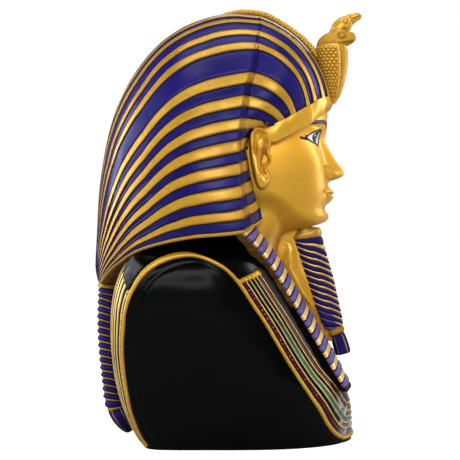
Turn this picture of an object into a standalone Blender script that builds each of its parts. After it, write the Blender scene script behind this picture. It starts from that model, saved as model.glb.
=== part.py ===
# Pharaoh bust: one painted resin casting.
# Frame: +Z up, the figure faces -Y, its right side is -X, the origin is the middle of the base.
# Shapes are worked out in millimetres as (u forward, w to the figure's right, z up).
import math

import bmesh
import bpy
import numpy as np

HEIGHT = 298.0            # base to the top of the crown ridge
BASE_HALF_WIDTH = 52.0
SHOULDER_HALF_WIDTH = 75.5
WING_HALF_WIDTH = 82.6    # headcloth at its widest, over the shoulders
CENTRE_U = 0.3            # middle of the outline, front to back, moved to the origin

POLE = (-91.0, 106.4)     # where every stripe meets the pigtail, (u, z)
AXIS_TILT = math.radians(20.3)
CLOTH_POWER = 2.2
RIB_RISE = 0.9
RIBS = [(0.968, 0.009), (0.928, 0.011), (0.857, 0.016), (0.781, 0.018), (0.629, 0.023),
        (0.534, 0.022), (0.443, 0.022), (0.353, 0.024), (0.261, 0.023), (0.166, 0.025),
        (0.073, 0.020), (0.006, 0.014)]   # stripe centre and half width, 1 at the crown, 0 at the hem

# Headcloth, against the square root of the distance along the stripe axis from the pole (mm)
CROWN_RISE = [(0, 0), (3.5, 35), (5.4, 72.5), (7.05, 105.2), (8.65, 129), (9.9, 142), (11.05, 147.4),
              (12.25, 144.6), (13.04, 136.1)]
CLOTH_HALF = [(0, 0), (2, 25.6), (3.2, 38.6), (4.3, 49), (5.65, 61), (6.6, 68.6), (8.55, 79.5),
              (10.34, WING_HALF_WIDTH), (11.07, 76), (11.77, 73), (12.5, 68), (13.04, 62)]
HEM_RISE = [(0, 0), (2, 2), (4.3, 8), (6.2, 11.8), (8.55, 7.7), (10.34, -0.7), (13.04, -0.7)]
CREASE = [(0, 107), (0.124, 111.4), (0.267, 117.6), (0.369, 122.6), (0.503, 132.1), (0.583, 138.5),
          (0.663, 146.5), (0.78, 156.3), (0.908, 165), (1, 169.9)]
FRONT_RIM = [(0, 21.5, 34, 150), (0.067, 19, 37, 160), (0.159, 15.5, 39.5, 173),
             (0.255, 12.8, 41.5, 186.3), (0.348, 11.2, 42.5, 200.5), (0.415, 15.5, 45.0, 208.5),
             (0.486, 28.3, 48.2, 212.8), (0.583, 38.3, 45.6, 217.7), (0.715, 47.8, 40.9, 223.5),
             (0.83, 55.5, 35.5, 228.2), (0.905, 61.3, 29, 232.3), (0.965, 68.0, 17, 234.9),
             (1, 71.9, 0, 236)]
FRONT_BULGE = [(0, 0.5), (0.35, 1.0), (0.486, 3), (0.6, 6), (0.8, 9), (1, 10)]

# Shoulders and chest: height, front, back, half width, middle, front power
TORSO = [(0, 84.7, -58, BASE_HALF_WIDTH, 0, 2.35), (4.2, 85.0, -61.3, 53.6, -0.7, 2.35),
         (12, 85.0, -65.5, 57, -2, 2.35),
         (24, 84, -70.4, 61.5, -3, 2.4), (40, 79, -75, 66, -5, 2.5), (60, 70, -77.8, 70.5, -9, 2.15),
         (80, 58, -78.5, 74, -14, 2), (95, 48.5, -77.7, SHOULDER_HALF_WIDTH, -17, 2),
         (110, 39.5, -74.5, 75, -19, 2), (120, 34, -70, 73, -21, 2), (128, 30, -64, 68.5, -22, 2),
         (134, 27, -56, 61, -22, 2), (140, 24, -46, 50, -20, 2), (146, 20, -36, 38, -15, 2)]
BACK_POWER = 8.0          # a flat back with rounded corners
ARCH = [(-54.6, 2.4), (-57.6, 7.2), (-62.8, 21.4), (-66.8, 43.9), (-68.4, 62), (-68.0, 77), (-64.2, 99.7),
        (-52.4, 118.6), (-26.8, 128.1), (-6.4, 121.1), (18.8, 90), (38, 58.1), (57.9, 27.7), (72.0, 6.5), (75.5, 4.0)]

# Lappet edges from the wing down the chest: share of length, outer (u, w, z), inner (u, w, z)
LAPPET = [(0, 7.5, 81.5, 140.8, 14.7, 34, 147.0), (0.1, 16.4, 64, 132.0, 23.2, 29.5, 138.0),
          (0.22, 26.0, 48.6, 120.0, 32.1, 25.5, 125.9), (0.4, 37.9, 43.4, 100.6, 43.8, 21.3, 106.0),
          (0.6, 50.8, 42, 79.1, 56.8, 20.4, 84.0), (0.8, 63.6, 42, 57.8, 69.8, 20, 61.9),
          (1, 76.8, 40.6, 36.8, 81.7, 20, 38.8)]

# Face: height, front of the plain head at the middle line, half width
HEAD_AXIS_U = 18.0
HEAD = [(122, 28, 28), (130, 31, 28), (136, 33.5, 28), (140, 37.5, 29), (143, 47.5, 30), (145.8, 58.5, 31),
        (152.5, 67.2, 32.5), (158, 66.2, 34), (166, 66.5, 36.6), (176, 66.8, 38.6), (190, 65.2, 40.4),
        (206, 63.2, 40.6), (218, 67.2, 41), (226, 68.2, 41), (236, 66, 39), (240, 60, 36)]

# Beard: distance down it, middle (u, z), half thickness
BEARD = [(-9, 50.8, 146.8, 10.2), (0, 53.6, 138.0, 10.6), (12.5, 57.3, 126.0, 10.2), (22.3, 60.2, 116.7, 10.0),
         (32.8, 63.3, 106.8, 9.7), (43.1, 65.9, 97.0, 9.3), (54.4, 69.1, 86.2, 8.6), (63, 71.8, 78.1, 7.7),
         (70.3, 74.8, 71.2, 5.2), (78, 77.4, 63.8, 5.0), (86, 79.4, 56.0, 5.2)]
BEARD_BANDS = 13
QUEUE_WRAPS = 17


def spline(points, x):
    p = np.asarray(points, float)
    xs, ys = p[:, 0], p[:, 1:]
    gap = np.diff(xs)
    slope = np.diff(ys, axis=0) / gap[:, None]
    m = np.empty_like(ys)
    m[0], m[-1] = slope[0], slope[-1]
    m[1:-1] = (gap[1:, None] * slope[:-1] + gap[:-1, None] * slope[1:]) / (gap[1:] + gap[:-1])[:, None]
    x = np.clip(np.asarray(x, float), xs[0], xs[-1])
    i = np.clip(np.searchsorted(xs, x, side="right") - 1, 0, len(xs) - 2)
    t = ((x - xs[i]) / gap[i])[..., None]
    g = gap[i][..., None]
    return ((2 * t**3 - 3 * t**2 + 1) * ys[i] + (t**3 - 2 * t**2 + t) * m[i] * g
            + (3 * t**2 - 2 * t**3) * ys[i + 1] + (t**3 - t**2) * m[i + 1] * g)


def world(points):
    """(u, w, z) in millimetres to metres in the shared frame."""
    p = np.asarray(points, float)
    return np.stack([-p[..., 1], -(p[..., 0] - CENTRE_U), p[..., 2]], axis=-1) / 1000


def make(name, points, faces, where):
    mesh = bpy.data.meshes.new(name)
    bm = bmesh.new()
    verts = [bm.verts.new(p) for p in world(points)]
    for face in faces:
        bm.faces.new([verts[k] for k in face])
    bmesh.ops.recalc_face_normals(bm, faces=bm.faces)
    if bm.calc_volume(signed=True) < 0:
        bmesh.ops.reverse_faces(bm, faces=bm.faces)
    bm.to_mesh(mesh)
    bm.free()
    obj = bpy.data.objects.new(name, mesh)
    where.objects.link(obj)
    return obj


def rings(name, sections, where):
    """A closed body through rings of equal count, with a flat cap at each end."""
    sections = np.asarray(sections, float)
    n, m = sections.shape[:2]
    faces = [[i * m + j, i * m + (j + 1) % m, (i + 1) * m + (j + 1) % m, (i + 1) * m + j]
             for i in range(n - 1) for j in range(m)]
    faces += [list(range(m))[::-1], [(n - 1) * m + j for j in range(m)]]
    return make(name, sections.reshape(-1, 3), faces, where)


def both(name, sections, where):
    sections = np.asarray(sections, float)
    mirrored = sections * np.array([1, -1, 1])
    return [rings(name + "_right", sections, where), rings(name + "_left", mirrored, where)]


def swept(path, half_a, half_b, side, count, power=2.0):
    """Rings of an ellipse square to a path: half_b lies along side, half_a square to both."""
    path = np.asarray(path, float)
    side = np.broadcast_to(np.asarray(side, float), path.shape)
    along = np.gradient(path, axis=0)
    along /= np.linalg.norm(along, axis=1)[:, None]
    across = np.cross(along, side)
    across /= np.linalg.norm(across, axis=1)[:, None]
    side = np.cross(across, along)
    turn = np.linspace(0, 2 * math.pi, count, endpoint=False)
    c = np.sign(np.cos(turn)) * np.abs(np.cos(turn)) ** (2 / power)
    s = np.sign(np.sin(turn)) * np.abs(np.sin(turn)) ** (2 / power)
    a = np.broadcast_to(half_a, len(path))[:, None, None]
    b = np.broadcast_to(half_b, len(path))[:, None, None]
    return path[:, None] + a * c[None, :, None] * across[:, None] + b * s[None, :, None] * side[:, None]


# ---- headcloth ----
def cloth_side(eta, root):
    """The cloth behind its crease, at stripe place eta and root = sqrt of the distance along the axis."""
    crown = spline(CROWN_RISE, root)[..., 0]
    half = spline(CLOTH_HALF, root)[..., 0]
    hem = spline(HEM_RISE, root)[..., 0]
    along = root**2
    rise = hem + (crown - hem) * eta
    w = half * np.clip(1 - eta**CLOTH_POWER, 0, 1) ** (1 / CLOTH_POWER)
    c, s = math.cos(AXIS_TILT), math.sin(AXIS_TILT)
    return np.stack([POLE[0] + along * c - rise * s, w, POLE[1] + along * s + rise * c], axis=-1)


def cloth_grid(etas, front_steps, side_steps):
    """Points of the right half, one row a stripe place from crown to hem, columns from rim to pole."""
    etas = np.asarray(etas, float)
    root = np.sqrt(spline(CREASE, etas)[:, 0])
    crease = cloth_side(etas, root)
    rim = spline(FRONT_RIM, etas)
    rim[etas >= 1, 1] = 0
    v = np.linspace(0, 1, front_steps, endpoint=False)[None, :, None]
    middle = (crease + rim) / 2 - np.array([0, 0, 200.0])
    chord = crease - rim
    chord /= np.linalg.norm(chord, axis=1)[:, None]
    out = middle - (middle * chord).sum(axis=1)[:, None] * chord
    out /= np.linalg.norm(out, axis=1)[:, None]
    bulge = spline(FRONT_BULGE, etas)[:, 0]
    front = (rim[:, None] * (1 - v) + crease[:, None] * v
             + out[:, None] * (bulge[:, None, None] * 4 * v * (1 - v)))
    share = np.linspace(1, 0.1, side_steps)
    side = cloth_side(np.repeat(etas[:, None], side_steps, axis=1), root[:, None] * share[None, :])
    grid = np.concatenate([front, side], axis=1)
    grid[etas >= 1, :, 1] = 0
    return grid


def raised(grid, rise):
    """The grid moved along its normals by rise (rows, columns)."""
    across = np.gradient(grid, axis=0)
    along = np.gradient(grid, axis=1)
    normal = np.cross(across, along)
    normal /= np.maximum(np.linalg.norm(normal, axis=-1), 1e-9)[..., None]
    centre = np.array([-10.0, 0, 170.0])
    normal *= np.sign(((grid - centre) * normal).sum(axis=-1))[..., None]
    moved = grid + normal * rise[..., None]
    moved[0, :, 1] = 0
    return moved


def headcloth(where):
    edge = 0.004
    etas, lift = [1.0], [1.0]
    for centre, half in RIBS:
        for offset, up in ((half + edge, 0), (half - edge, 1), (edge - half, 1), (-half - edge, 0)):
            place = centre + offset
            if 0.001 < place < 0.996:
                etas.append(place)
                lift.append(up)
    etas.append(0.0)
    lift.append(1.0)
    grid = cloth_grid(etas, 4, 10)
    rise = RIB_RISE * np.asarray(lift, float)[:, None] * np.ones(grid.shape[1])[None, :]
    rise[:, -3:] *= np.array([0.6, 0.4, 0.2])
    grid = raised(grid, rise)
    n, m = grid.shape[:2]
    points = [*grid.reshape(-1, 3), *(grid[1:] * np.array([1, -1, 1])).reshape(-1, 3), (POLE[0], 0, POLE[1])]
    pole = len(points) - 1
    right = np.arange(n * m).reshape(n, m)
    left = np.vstack([right[:1], n * m + np.arange((n - 1) * m).reshape(n - 1, m)])
    faces = []
    for side in (right, left):
        faces += [[side[i, j], side[i, j + 1], side[i + 1, j + 1], side[i + 1, j]]
                  for i in range(n - 1) for j in range(m - 1)]
        faces += [[side[i, -1], pole, side[i + 1, -1]] for i in range(n - 1)]
    rim = [*zip(right[1:, 0], left[1:, 0]), *zip(right[-1, 1:], left[-1, 1:])]
    faces.append([right[0, 0], rim[0][0], rim[0][1]])
    faces += [[a[0], b[0], b[1], a[1]] for a, b in zip(rim, rim[1:])]
    faces.append([rim[-1][0], pole, rim[-1][1]])
    return make("headcloth", points, faces, where)


# ---- shoulders ----
def torso_ring(z, count):
    front, back, half, middle, power = spline(TORSO, z)
    turn = np.linspace(0, 2 * math.pi, count, endpoint=False)
    c, s = np.cos(turn), np.sin(turn)
    p = np.where(c > 0, power, BACK_POWER)
    u = middle + np.where(c > 0, front - middle, middle - back) * np.sign(c) * np.abs(c) ** (2 / p)
    w = half * np.sign(s) * np.abs(s) ** (2 / p)
    return np.stack([u, w, np.full(count, float(z))], axis=1)


def torso_w(u, z):
    front, back, half, middle, power = spline(TORSO, z).T
    reach = np.where(u > middle, front - middle, middle - back)
    p = np.where(u > middle, power, BACK_POWER)
    return half * np.clip(1 - (np.abs(u - middle) / reach) ** p, 0, 1) ** (1 / p)


def arch_path(count):
    p = np.asarray(ARCH, float)
    share = np.concatenate([[0], np.cumsum(np.hypot(*np.diff(p, axis=0).T))])
    uz = spline(np.column_stack([share, p]), np.linspace(0, share[-1], count))
    side = np.stack([uz[:, 0], torso_w(uz[:, 0], uz[:, 1]), uz[:, 1]], axis=1)
    ring = torso_ring(side[-1, 2], 240)
    ahead = ring[(ring[:, 0] > side[-1, 0] + 0.5) & (ring[:, 1] >= 0)]
    ahead = ahead[np.argsort(-ahead[:, 1])][3::4]
    return np.concatenate([side, ahead, [[ahead[-1, 0], -1.0, ahead[-1, 2]]]])


# ---- head ----
def bump(w, z, w0, z0, half_w, half_z):
    return np.exp(-((w - w0) / half_w) ** 2 - ((z - z0) / half_z) ** 2)


def head_points(theta, z):
    """Head surface: a tall rounded cylinder with calm, evenly divided features in front."""
    front, half = spline(HEAD, z).T
    c, s = np.cos(theta), np.sin(theta)
    reach = np.where(c > 0, front - HEAD_AXIS_U, 50.0)
    p = 2.25
    radius = (np.abs(c / reach) ** p + np.abs(s / half) ** p) ** (-1 / p)
    w = radius * s
    aw = np.abs(w)
    nose_half = np.interp(z, [180, 186, 200, 213], [7.5, 6.5, 3.8, 4.2])
    nose_out = np.interp(z, [176.5, 180.5, 184.0, 187.5, 200, 210, 216], [0, 10.5, 12.6, 11.6, 6.2, 2.2, 0.3])
    out = nose_out * np.exp(-(w / nose_half) ** 2)
    out += 4.5 * bump(aw, z, 8.2, 184, 3.4, 4.0)
    out += 5.2 * bump(aw, z, 0, 171.4, 13.5, 3.0) + 4.9 * bump(aw, z, 0, 164.6, 11.5, 3.2)
    out -= 1.6 * bump(aw, z, 0, 168, 13, 1.0)
    out += 1.6 * bump(aw, z, 0, 152, 9.5, 5)
    out -= 4.8 * bump(aw, z, 16.5, 205, 11, 7.0)
    out += 3.6 * bump(aw, z, 17.8, 205.5, 10, 5.4)
    out += 1.8 * bump(aw, z, 17, 216, 15, 3.5)
    out += 2.0 * bump(aw, z, 25, 189, 10, 9)
    keep = np.clip(c * 2.2 - 0.2, 0, 1)
    return np.stack([HEAD_AXIS_U + radius * c + out * keep, w, z], axis=-1)


def head(where):
    theta = np.radians([*range(-64, 65, 8), 72, 90, 130, 180, 230, 270, 288])
    zs = [122, 130, 136, 140, 144, 147.5, 152, 157, 161, 164.5, 168, 171.5, 175, 178.5, 182, 185,
          190, 196, 201, 205, 209, 213, 218, 226, 240]
    sections = [head_points(theta, np.full(len(theta), float(z))) for z in zs]
    return rings("head", sections, where)


def ear(where):
    made = []
    turn = np.linspace(0, 2 * math.pi, 10, endpoint=False)
    zz, uu = 20 * np.cos(turn), 8.2 * np.sin(turn) * (1 + 0.22 * np.cos(turn))
    loops = []
    for out, scale, lean in ((-6, 0.7, 0), (2.0, 0.92, 0), (6.0, 1.0, 2.6), (7.4, 0.86, 2.6), (5.2, 0.62, 1.8),
                             (4.2, 0.3, 0.6)):
        loops.append(np.stack([19.8 + uu * scale - 0.1 * zz * scale, 41 + out + lean * zz / 20,
                               191 + zz * scale], axis=1))
    made += both("ear", loops, where)
    return made


# ---- brow emblems ----
def emblems(where):
    table = [(0, 72.2, 233.0, 2.4, 3.4), (0.2, 72.3, 242.5, 6.2, 5.8), (0.45, 72.0, 253, 9.0, 6.6),
             (0.7, 71.1, 264, 10.9, 6.9), (0.85, 70.6, 270, 10.7, 6.4), (1, 70.8, 275.5, 7.4, 4.8)]
    rows = spline(table, np.linspace(0, 1, 8))
    turn = np.linspace(0, 2 * math.pi, 10, endpoint=False)
    body = [[(u + a * math.cos(t), 6.0 + b * math.sin(t), z) for t in turn] for u, z, a, b in rows]
    made = [rings("cobra_neck", body, where)]
    table = [(60.6, 271.5, 2.0, 1.8), (64.2, 273.5, 4.8, 4.9), (70.0, 274.8, 6.4, 6.2), (77.2, 275.5, 6.5, 5.9),
             (81.2, 276.1, 5.3, 4.8), (84.7, 276.7, 3.8, 3.4), (87.4, 277.0, 1.0, 0.9)]
    snout = [[(u, 6.0 + b * math.sin(t), z + a * math.cos(t)) for t in turn] for u, z, a, b in table]
    made.append(rings("cobra_head", snout, where))
    table = [(70.6, 284.2, 1.2, 1.2), (72.2, 284.4, 4.0, 3.2), (74.5, 285.3, 6.0, 4.3), (77.2, 286.3, 7.0, 4.8),
             (80.7, 287.4, 7.1, 4.8), (84.0, 289.6, 6.1, 4.2), (86.0, 291.8, 4.6, 3.4), (88.4, 293.3, 3.4, 2.8),
             (90.6, 294.0, 2.6, 2.2), (92.9, 294.2, 0.9, 0.8)]
    bird = [[(u, b * math.sin(t) - 6.0, z + a * math.cos(t)) for t in turn] for u, z, a, b in table]
    made.append(rings("vulture_head", bird, where))
    neck = [[(u + a * math.cos(t), b * math.sin(t) - 6.0, z) for t in turn]
            for u, z, a, b in ((71, 233, 4, 4.4), (70.5, 250, 6, 5.4), (70.9, 266, 6.6, 5.2), (75.2, 280, 6.2, 4.6),
                          (77.5, 285, 5.0, 4.0))]
    made.append(rings("vulture_neck", neck, where))
    return made


def crown_ridge(where):
    crest = [(-8, 293.2), (0, 294.6), (13.3, 295.0), (25.7, 292.2), (35.9, 286.5), (46, 279.4),
             (56, 270), (63, 260), (67, 252)]
    p = np.asarray(crest, float)
    share = np.concatenate([[0], np.cumsum(np.hypot(*np.diff(p, axis=0).T))])
    uz = spline(np.column_stack([share, p]), np.linspace(0, share[-1], 15))
    path = np.stack([uz[:, 0], np.zeros(15), uz[:, 1]], axis=1)
    tall = np.interp(np.linspace(0, 1, 15), [0, 0.15, 0.7, 1], [0.6, 2.6, 3.6, 3.6])
    return rings("crown_ridge", swept(path, tall, np.interp(np.arange(15), [0, 3, 14], [2, 6.5, 8]), (0, 1, 0), 8), where)


# ---- beard and pigtail ----
def beard(where):
    places, sizes = [-4.6, -3.8, -0.6], [0.98, 1.05, 1.05]
    for k in range(BEARD_BANDS):
        places += [0.2 + k * 5.14, 4.0 + k * 5.14]
        sizes += [0.97, 1.02]
    places += [67.4, 69.6, 70.8, 83.6, 84.9]
    sizes += [1.2, 1.2, 1.0, 1.12, 1.0]
    row = spline(BEARD, np.asarray(places))
    path = np.stack([row[:, 0], 0 * row[:, 0], row[:, 1]], axis=1)
    shape = row[:, 2] * np.asarray(sizes)
    return rings("beard", swept(path, shape, shape * 0.92, (0, 1, 0), 10, 2.4), where)


def beard_web(where):
    outline = [(22, 151), (51, 151), (56, 128), (71, 76), (62, 68), (50, 88), (33, 112), (25, 132)]
    return rings("beard_web", [[(u, w, z) for u, z in outline] for w in (-4.8, 4.8)], where)


def pigtail(where):
    spine = [(-7, -84.0, 111), (0, -84.4, 104), (45, -84.6, 60), (62, -82.8, 43), (88, -78.5, 18),
             (105, -69, 2.5)]
    places, sizes = [-7, 0.0, 2.0], [7.0, 7.8, 7.8]
    for k in range(QUEUE_WRAPS):
        start = 2.6 + k * 5.02
        places += [start, start + 1.2, start + 4.6]
        sizes += [6.6, 7.2, 7.2]
    places += [89, 98, 104.5]
    sizes += [6.6, 6.0, 3.4]
    uz = spline(spine, np.asarray(places))
    path = np.stack([uz[:, 0], 0 * uz[:, 0], uz[:, 1]], axis=1)
    return rings("pigtail", swept(path, sizes, np.asarray(sizes), (0, 1, 0), 8), where)


def lappet(where):
    share = np.linspace(0, 1, 10)
    rows = spline(LAPPET, share)
    outer, inner = rows[:, :3], rows[:, 3:]
    along = np.gradient((outer + inner) / 2, axis=0)
    normal = np.cross(inner - outer, along)
    normal /= np.linalg.norm(normal, axis=1)[:, None]
    normal *= np.sign(normal[:, :1])
    loops = np.stack([outer - 9 * normal, outer - 0.4 * normal, outer * 0.93 + inner * 0.07 + 0.5 * normal,
                      outer * 0.07 + inner * 0.93 + 0.5 * normal, inner - 0.4 * normal, inner - 9 * normal], axis=1)
    return both("lappet", loops, where)


def brow_band(where):
    etas = np.linspace(1, 0.43, 12)
    rim = spline(FRONT_RIM, etas)
    rim[0, 1] = 0
    drop = np.interp(etas, [0.43, 0.55, 1], [13.0, 11.5, 8.5])
    inward = np.stack([rim[:, 0] - 15, rim[:, 1], 0 * etas], axis=1)
    inward /= np.linalg.norm(inward, axis=1)[:, None]
    low = rim - np.stack([0 * drop, 0 * drop, drop], axis=1)
    loops = np.stack([rim + inward * 0.6 + np.array([0, 0, 1.5]), low + inward * 0.6, low - inward * 12,
                      rim - inward * 12 + np.array([0, 0, 1.5])], axis=1)
    full = np.concatenate([loops, (loops[1:] * np.array([1, -1, 1]))[:, ::1]])
    order = list(range(11, 0, -1)) + [0]
    sections = [full[k] for k in order] + [loops[k] * np.array([1, -1, 1]) for k in range(1, 12)]
    return rings("brow_band", sections, where)


def main():
    for obj in list(bpy.data.objects):
        bpy.data.objects.remove(obj, do_unlink=True)
    parts = bpy.data.collections.new("pharaoh_bust")
    helpers = bpy.data.collections.new("joined_shapes")
    bpy.context.scene.collection.children.link(parts)
    bpy.context.scene.collection.children.link(helpers)

    heights = [0, 12, 24, 40, 60, 80, 95, 110, 120, 128, 134, 140, 146]
    bust = rings("bust", [torso_ring(z, 32) for z in heights], parts)
    pieces = [headcloth(helpers), head(helpers), brow_band(helpers), crown_ridge(helpers), beard(helpers),
              beard_web(helpers), pigtail(helpers), *lappet(helpers), *ear(helpers), *emblems(helpers)]
    path = arch_path(21)
    pieces += both("arch", swept(path, 1.8, 1.8, (0.2, 1, 0.1), 6), helpers)
    for piece in pieces:
        join = bust.modifiers.new(piece.name, "BOOLEAN")
        join.operation = "UNION"
        join.object = piece
        piece.hide_render = True
        piece.display_type = "WIRE"

    paint = bpy.data.materials.new("painted_resin")
    paint.use_nodes = True
    shader = paint.node_tree.nodes["Principled BSDF"]
    shader.inputs["Base Color"].default_value = (0.55, 0.36, 0.09, 1)
    shader.inputs["Metallic"].default_value = 0.0
    shader.inputs["Roughness"].default_value = 0.38
    bust.data.materials.append(paint)
    for face in bust.data.polygons:
        face.use_smooth = True


main()
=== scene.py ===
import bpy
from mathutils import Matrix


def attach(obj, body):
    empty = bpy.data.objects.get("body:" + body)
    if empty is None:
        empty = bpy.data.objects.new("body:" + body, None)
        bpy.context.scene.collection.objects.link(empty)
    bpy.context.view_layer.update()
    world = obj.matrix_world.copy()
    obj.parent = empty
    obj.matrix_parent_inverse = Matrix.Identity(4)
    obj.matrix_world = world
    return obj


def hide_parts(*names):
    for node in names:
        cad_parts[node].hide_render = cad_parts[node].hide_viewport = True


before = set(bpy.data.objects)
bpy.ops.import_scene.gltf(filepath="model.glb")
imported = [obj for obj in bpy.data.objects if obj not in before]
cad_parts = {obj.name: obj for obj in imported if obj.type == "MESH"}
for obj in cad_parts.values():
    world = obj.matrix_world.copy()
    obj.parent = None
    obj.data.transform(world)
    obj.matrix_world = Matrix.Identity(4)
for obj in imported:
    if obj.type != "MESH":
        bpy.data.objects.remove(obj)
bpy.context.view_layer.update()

import math

import bpy
import numpy as np

# Everything is worked out in millimetres as (u forward, w to the figure's right, z up), as in the CAD.
CENTRE_U = 0.3
POLE = (-91.0, 106.4)
AXIS_TILT = math.radians(20.3)
CLOTH_POWER = 2.2
WING = 82.6
RIBS = [(1.0, 0.004), (0.968, 0.009), (0.928, 0.011), (0.857, 0.016), (0.781, 0.018), (0.629, 0.023), (0.534, 0.022),
        (0.443, 0.022), (0.353, 0.024), (0.261, 0.023), (0.166, 0.025), (0.073, 0.020), (0.0, 0.007)]
CROWN_RISE = [(0, 0), (3.5, 35), (5.4, 72.5), (7.05, 105.2), (8.65, 129), (9.9, 142), (11.05, 147.4),
              (12.25, 144.6), (13.04, 136.1)]
CLOTH_HALF = [(0, 0), (2, 25.6), (3.2, 38.6), (4.3, 49), (5.65, 61), (6.6, 68.6), (8.55, 79.5),
              (10.34, WING), (11.07, 76), (11.77, 73), (12.5, 68), (13.04, 62)]
HEM_RISE = [(0, 0), (2, 2), (4.3, 8), (6.2, 11.8), (8.55, 7.7), (10.34, -0.7), (13.04, -0.7)]
CREASE = [(0, 107), (0.124, 111.4), (0.267, 117.6), (0.369, 122.6), (0.503, 132.1), (0.583, 138.5),
          (0.663, 146.5), (0.78, 156.3), (0.908, 165), (1, 169.9)]
FRONT_RIM = [(0, 21.5, 34, 150), (0.067, 19, 37, 160), (0.159, 15.5, 39.5, 173), (0.255, 12.8, 41.5, 186.3),
             (0.348, 11.2, 42.5, 200.5), (0.415, 15.5, 45.0, 208.5), (0.486, 28.3, 48.2, 212.8),
             (0.583, 38.3, 45.6, 217.7), (0.715, 47.8, 40.9, 223.5), (0.83, 55.5, 35.5, 228.2),
             (0.905, 61.3, 29, 232.3), (0.965, 68.0, 17, 234.9), (1, 71.9, 0, 236)]
FRONT_BULGE = [(0, 0.5), (0.35, 1.0), (0.486, 3), (0.6, 6), (0.8, 9), (1, 10)]
BAND_DROP = [(0, 0.0), (0.40, 0.2), (0.445, 5.0), (0.475, 10.6), (0.5, 12.2), (0.583, 12.6), (0.715, 13.4), (0.83, 14.2),
             (0.905, 13.2), (0.965, 11.0), (1, 8.5)]
TORSO = [(0, 84.7, -58, 52, 0, 2.35), (4.2, 85.0, -61.3, 53.6, -0.7, 2.35), (12, 85.0, -65.5, 57, -2, 2.35),
         (24, 84, -70.4, 61.5, -3, 2.4),
         (40, 79, -75, 66, -5, 2.5), (60, 70, -77.8, 70.5, -9, 2.15), (80, 58, -78.5, 74, -14, 2),
         (95, 48.5, -77.7, 75.5, -17, 2), (110, 39.5, -74.5, 75, -19, 2), (120, 34, -70, 73, -21, 2),
         (128, 30, -64, 68.5, -22, 2), (134, 27, -56, 61, -22, 2), (140, 24, -46, 50, -20, 2),
         (146, 20, -36, 38, -15, 2)]
BACK_POWER = 8.0
ARCH = [(-54.6, 2.4), (-57.6, 7.2), (-62.8, 21.4), (-66.8, 43.9), (-68.4, 62), (-68.0, 77), (-64.2, 99.7), (-52.4, 118.6),
        (-26.8, 128.1), (-6.4, 121.1), (18.8, 90), (38, 58.1), (57.9, 27.7), (72.0, 6.5), (75.5, 4.0)]
LAPPET = [(0, 7.5, 81.5, 140.8, 14.7, 34, 147.0), (0.1, 16.4, 64, 132.0, 23.2, 29.5, 138.0),
          (0.22, 26.0, 48.6, 120.0, 32.1, 25.5, 125.9), (0.4, 37.9, 43.4, 100.6, 43.8, 21.3, 106.0),
          (0.6, 50.8, 42, 79.1, 56.8, 20.4, 84.0), (0.8, 63.6, 42, 57.8, 69.8, 20, 61.9),
          (1, 76.8, 40.6, 36.8, 81.7, 20, 38.8)]
HEAD_AXIS_U = 18.0


def spline(points, x):
    p = np.asarray(points, float)
    xs, ys = p[:, 0], p[:, 1:]
    gap = np.diff(xs)
    slope = np.diff(ys, axis=0) / gap[:, None]
    m = np.empty_like(ys)
    m[0], m[-1] = slope[0], slope[-1]
    m[1:-1] = (gap[1:, None] * slope[:-1] + gap[:-1, None] * slope[1:]) / (gap[1:] + gap[:-1])[:, None]
    x = np.clip(np.asarray(x, float), xs[0], xs[-1])
    i = np.clip(np.searchsorted(xs, x, side="right") - 1, 0, len(xs) - 2)
    t = ((x - xs[i]) / gap[i])[..., None]
    g = gap[i][..., None]
    return ((2 * t**3 - 3 * t**2 + 1) * ys[i] + (t**3 - 2 * t**2 + t) * m[i] * g
            + (3 * t**2 - 2 * t**3) * ys[i + 1] + (t**3 - t**2) * m[i + 1] * g)


def line(points, x):
    """The first column of a spline."""
    return spline(points, x)[..., 0]


def smooth(low, high, x):
    t = np.clip((np.asarray(x, float) - low) / (high - low), 0, 1)
    return t * t * (3 - 2 * t)


def unit(v):
    return v / np.maximum(np.linalg.norm(v, axis=-1, keepdims=True), 1e-9)


def waves(p, scale, seed=0):
    """Soft repeatable unevenness, about -1 to 1, from points in millimetres; scale is the size of one hump."""
    rng = np.random.default_rng(seed)
    total = np.zeros(p.shape[:-1])
    for _ in range(7):
        direction = unit(rng.normal(size=3))
        turn, phase = rng.uniform(0.7, 1.5), rng.uniform(0, 6.3)
        bend = 1.7 * np.sin((p @ unit(rng.normal(size=3))) * 2.1 / scale + phase * 2)
        total += np.sin((p @ direction) * 2 * math.pi * turn / (2 * scale) + phase + bend)
    return total / 4.2


def grid_faces(n, m, wrap=False, start=0):
    i, j = np.meshgrid(np.arange(n - 1), np.arange(m if wrap else m - 1), indexing="ij")
    k = (j + 1) % m
    return (start + np.stack([i * m + j, (i + 1) * m + j, (i + 1) * m + k, i * m + k], axis=-1)).reshape(-1, 4)


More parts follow.
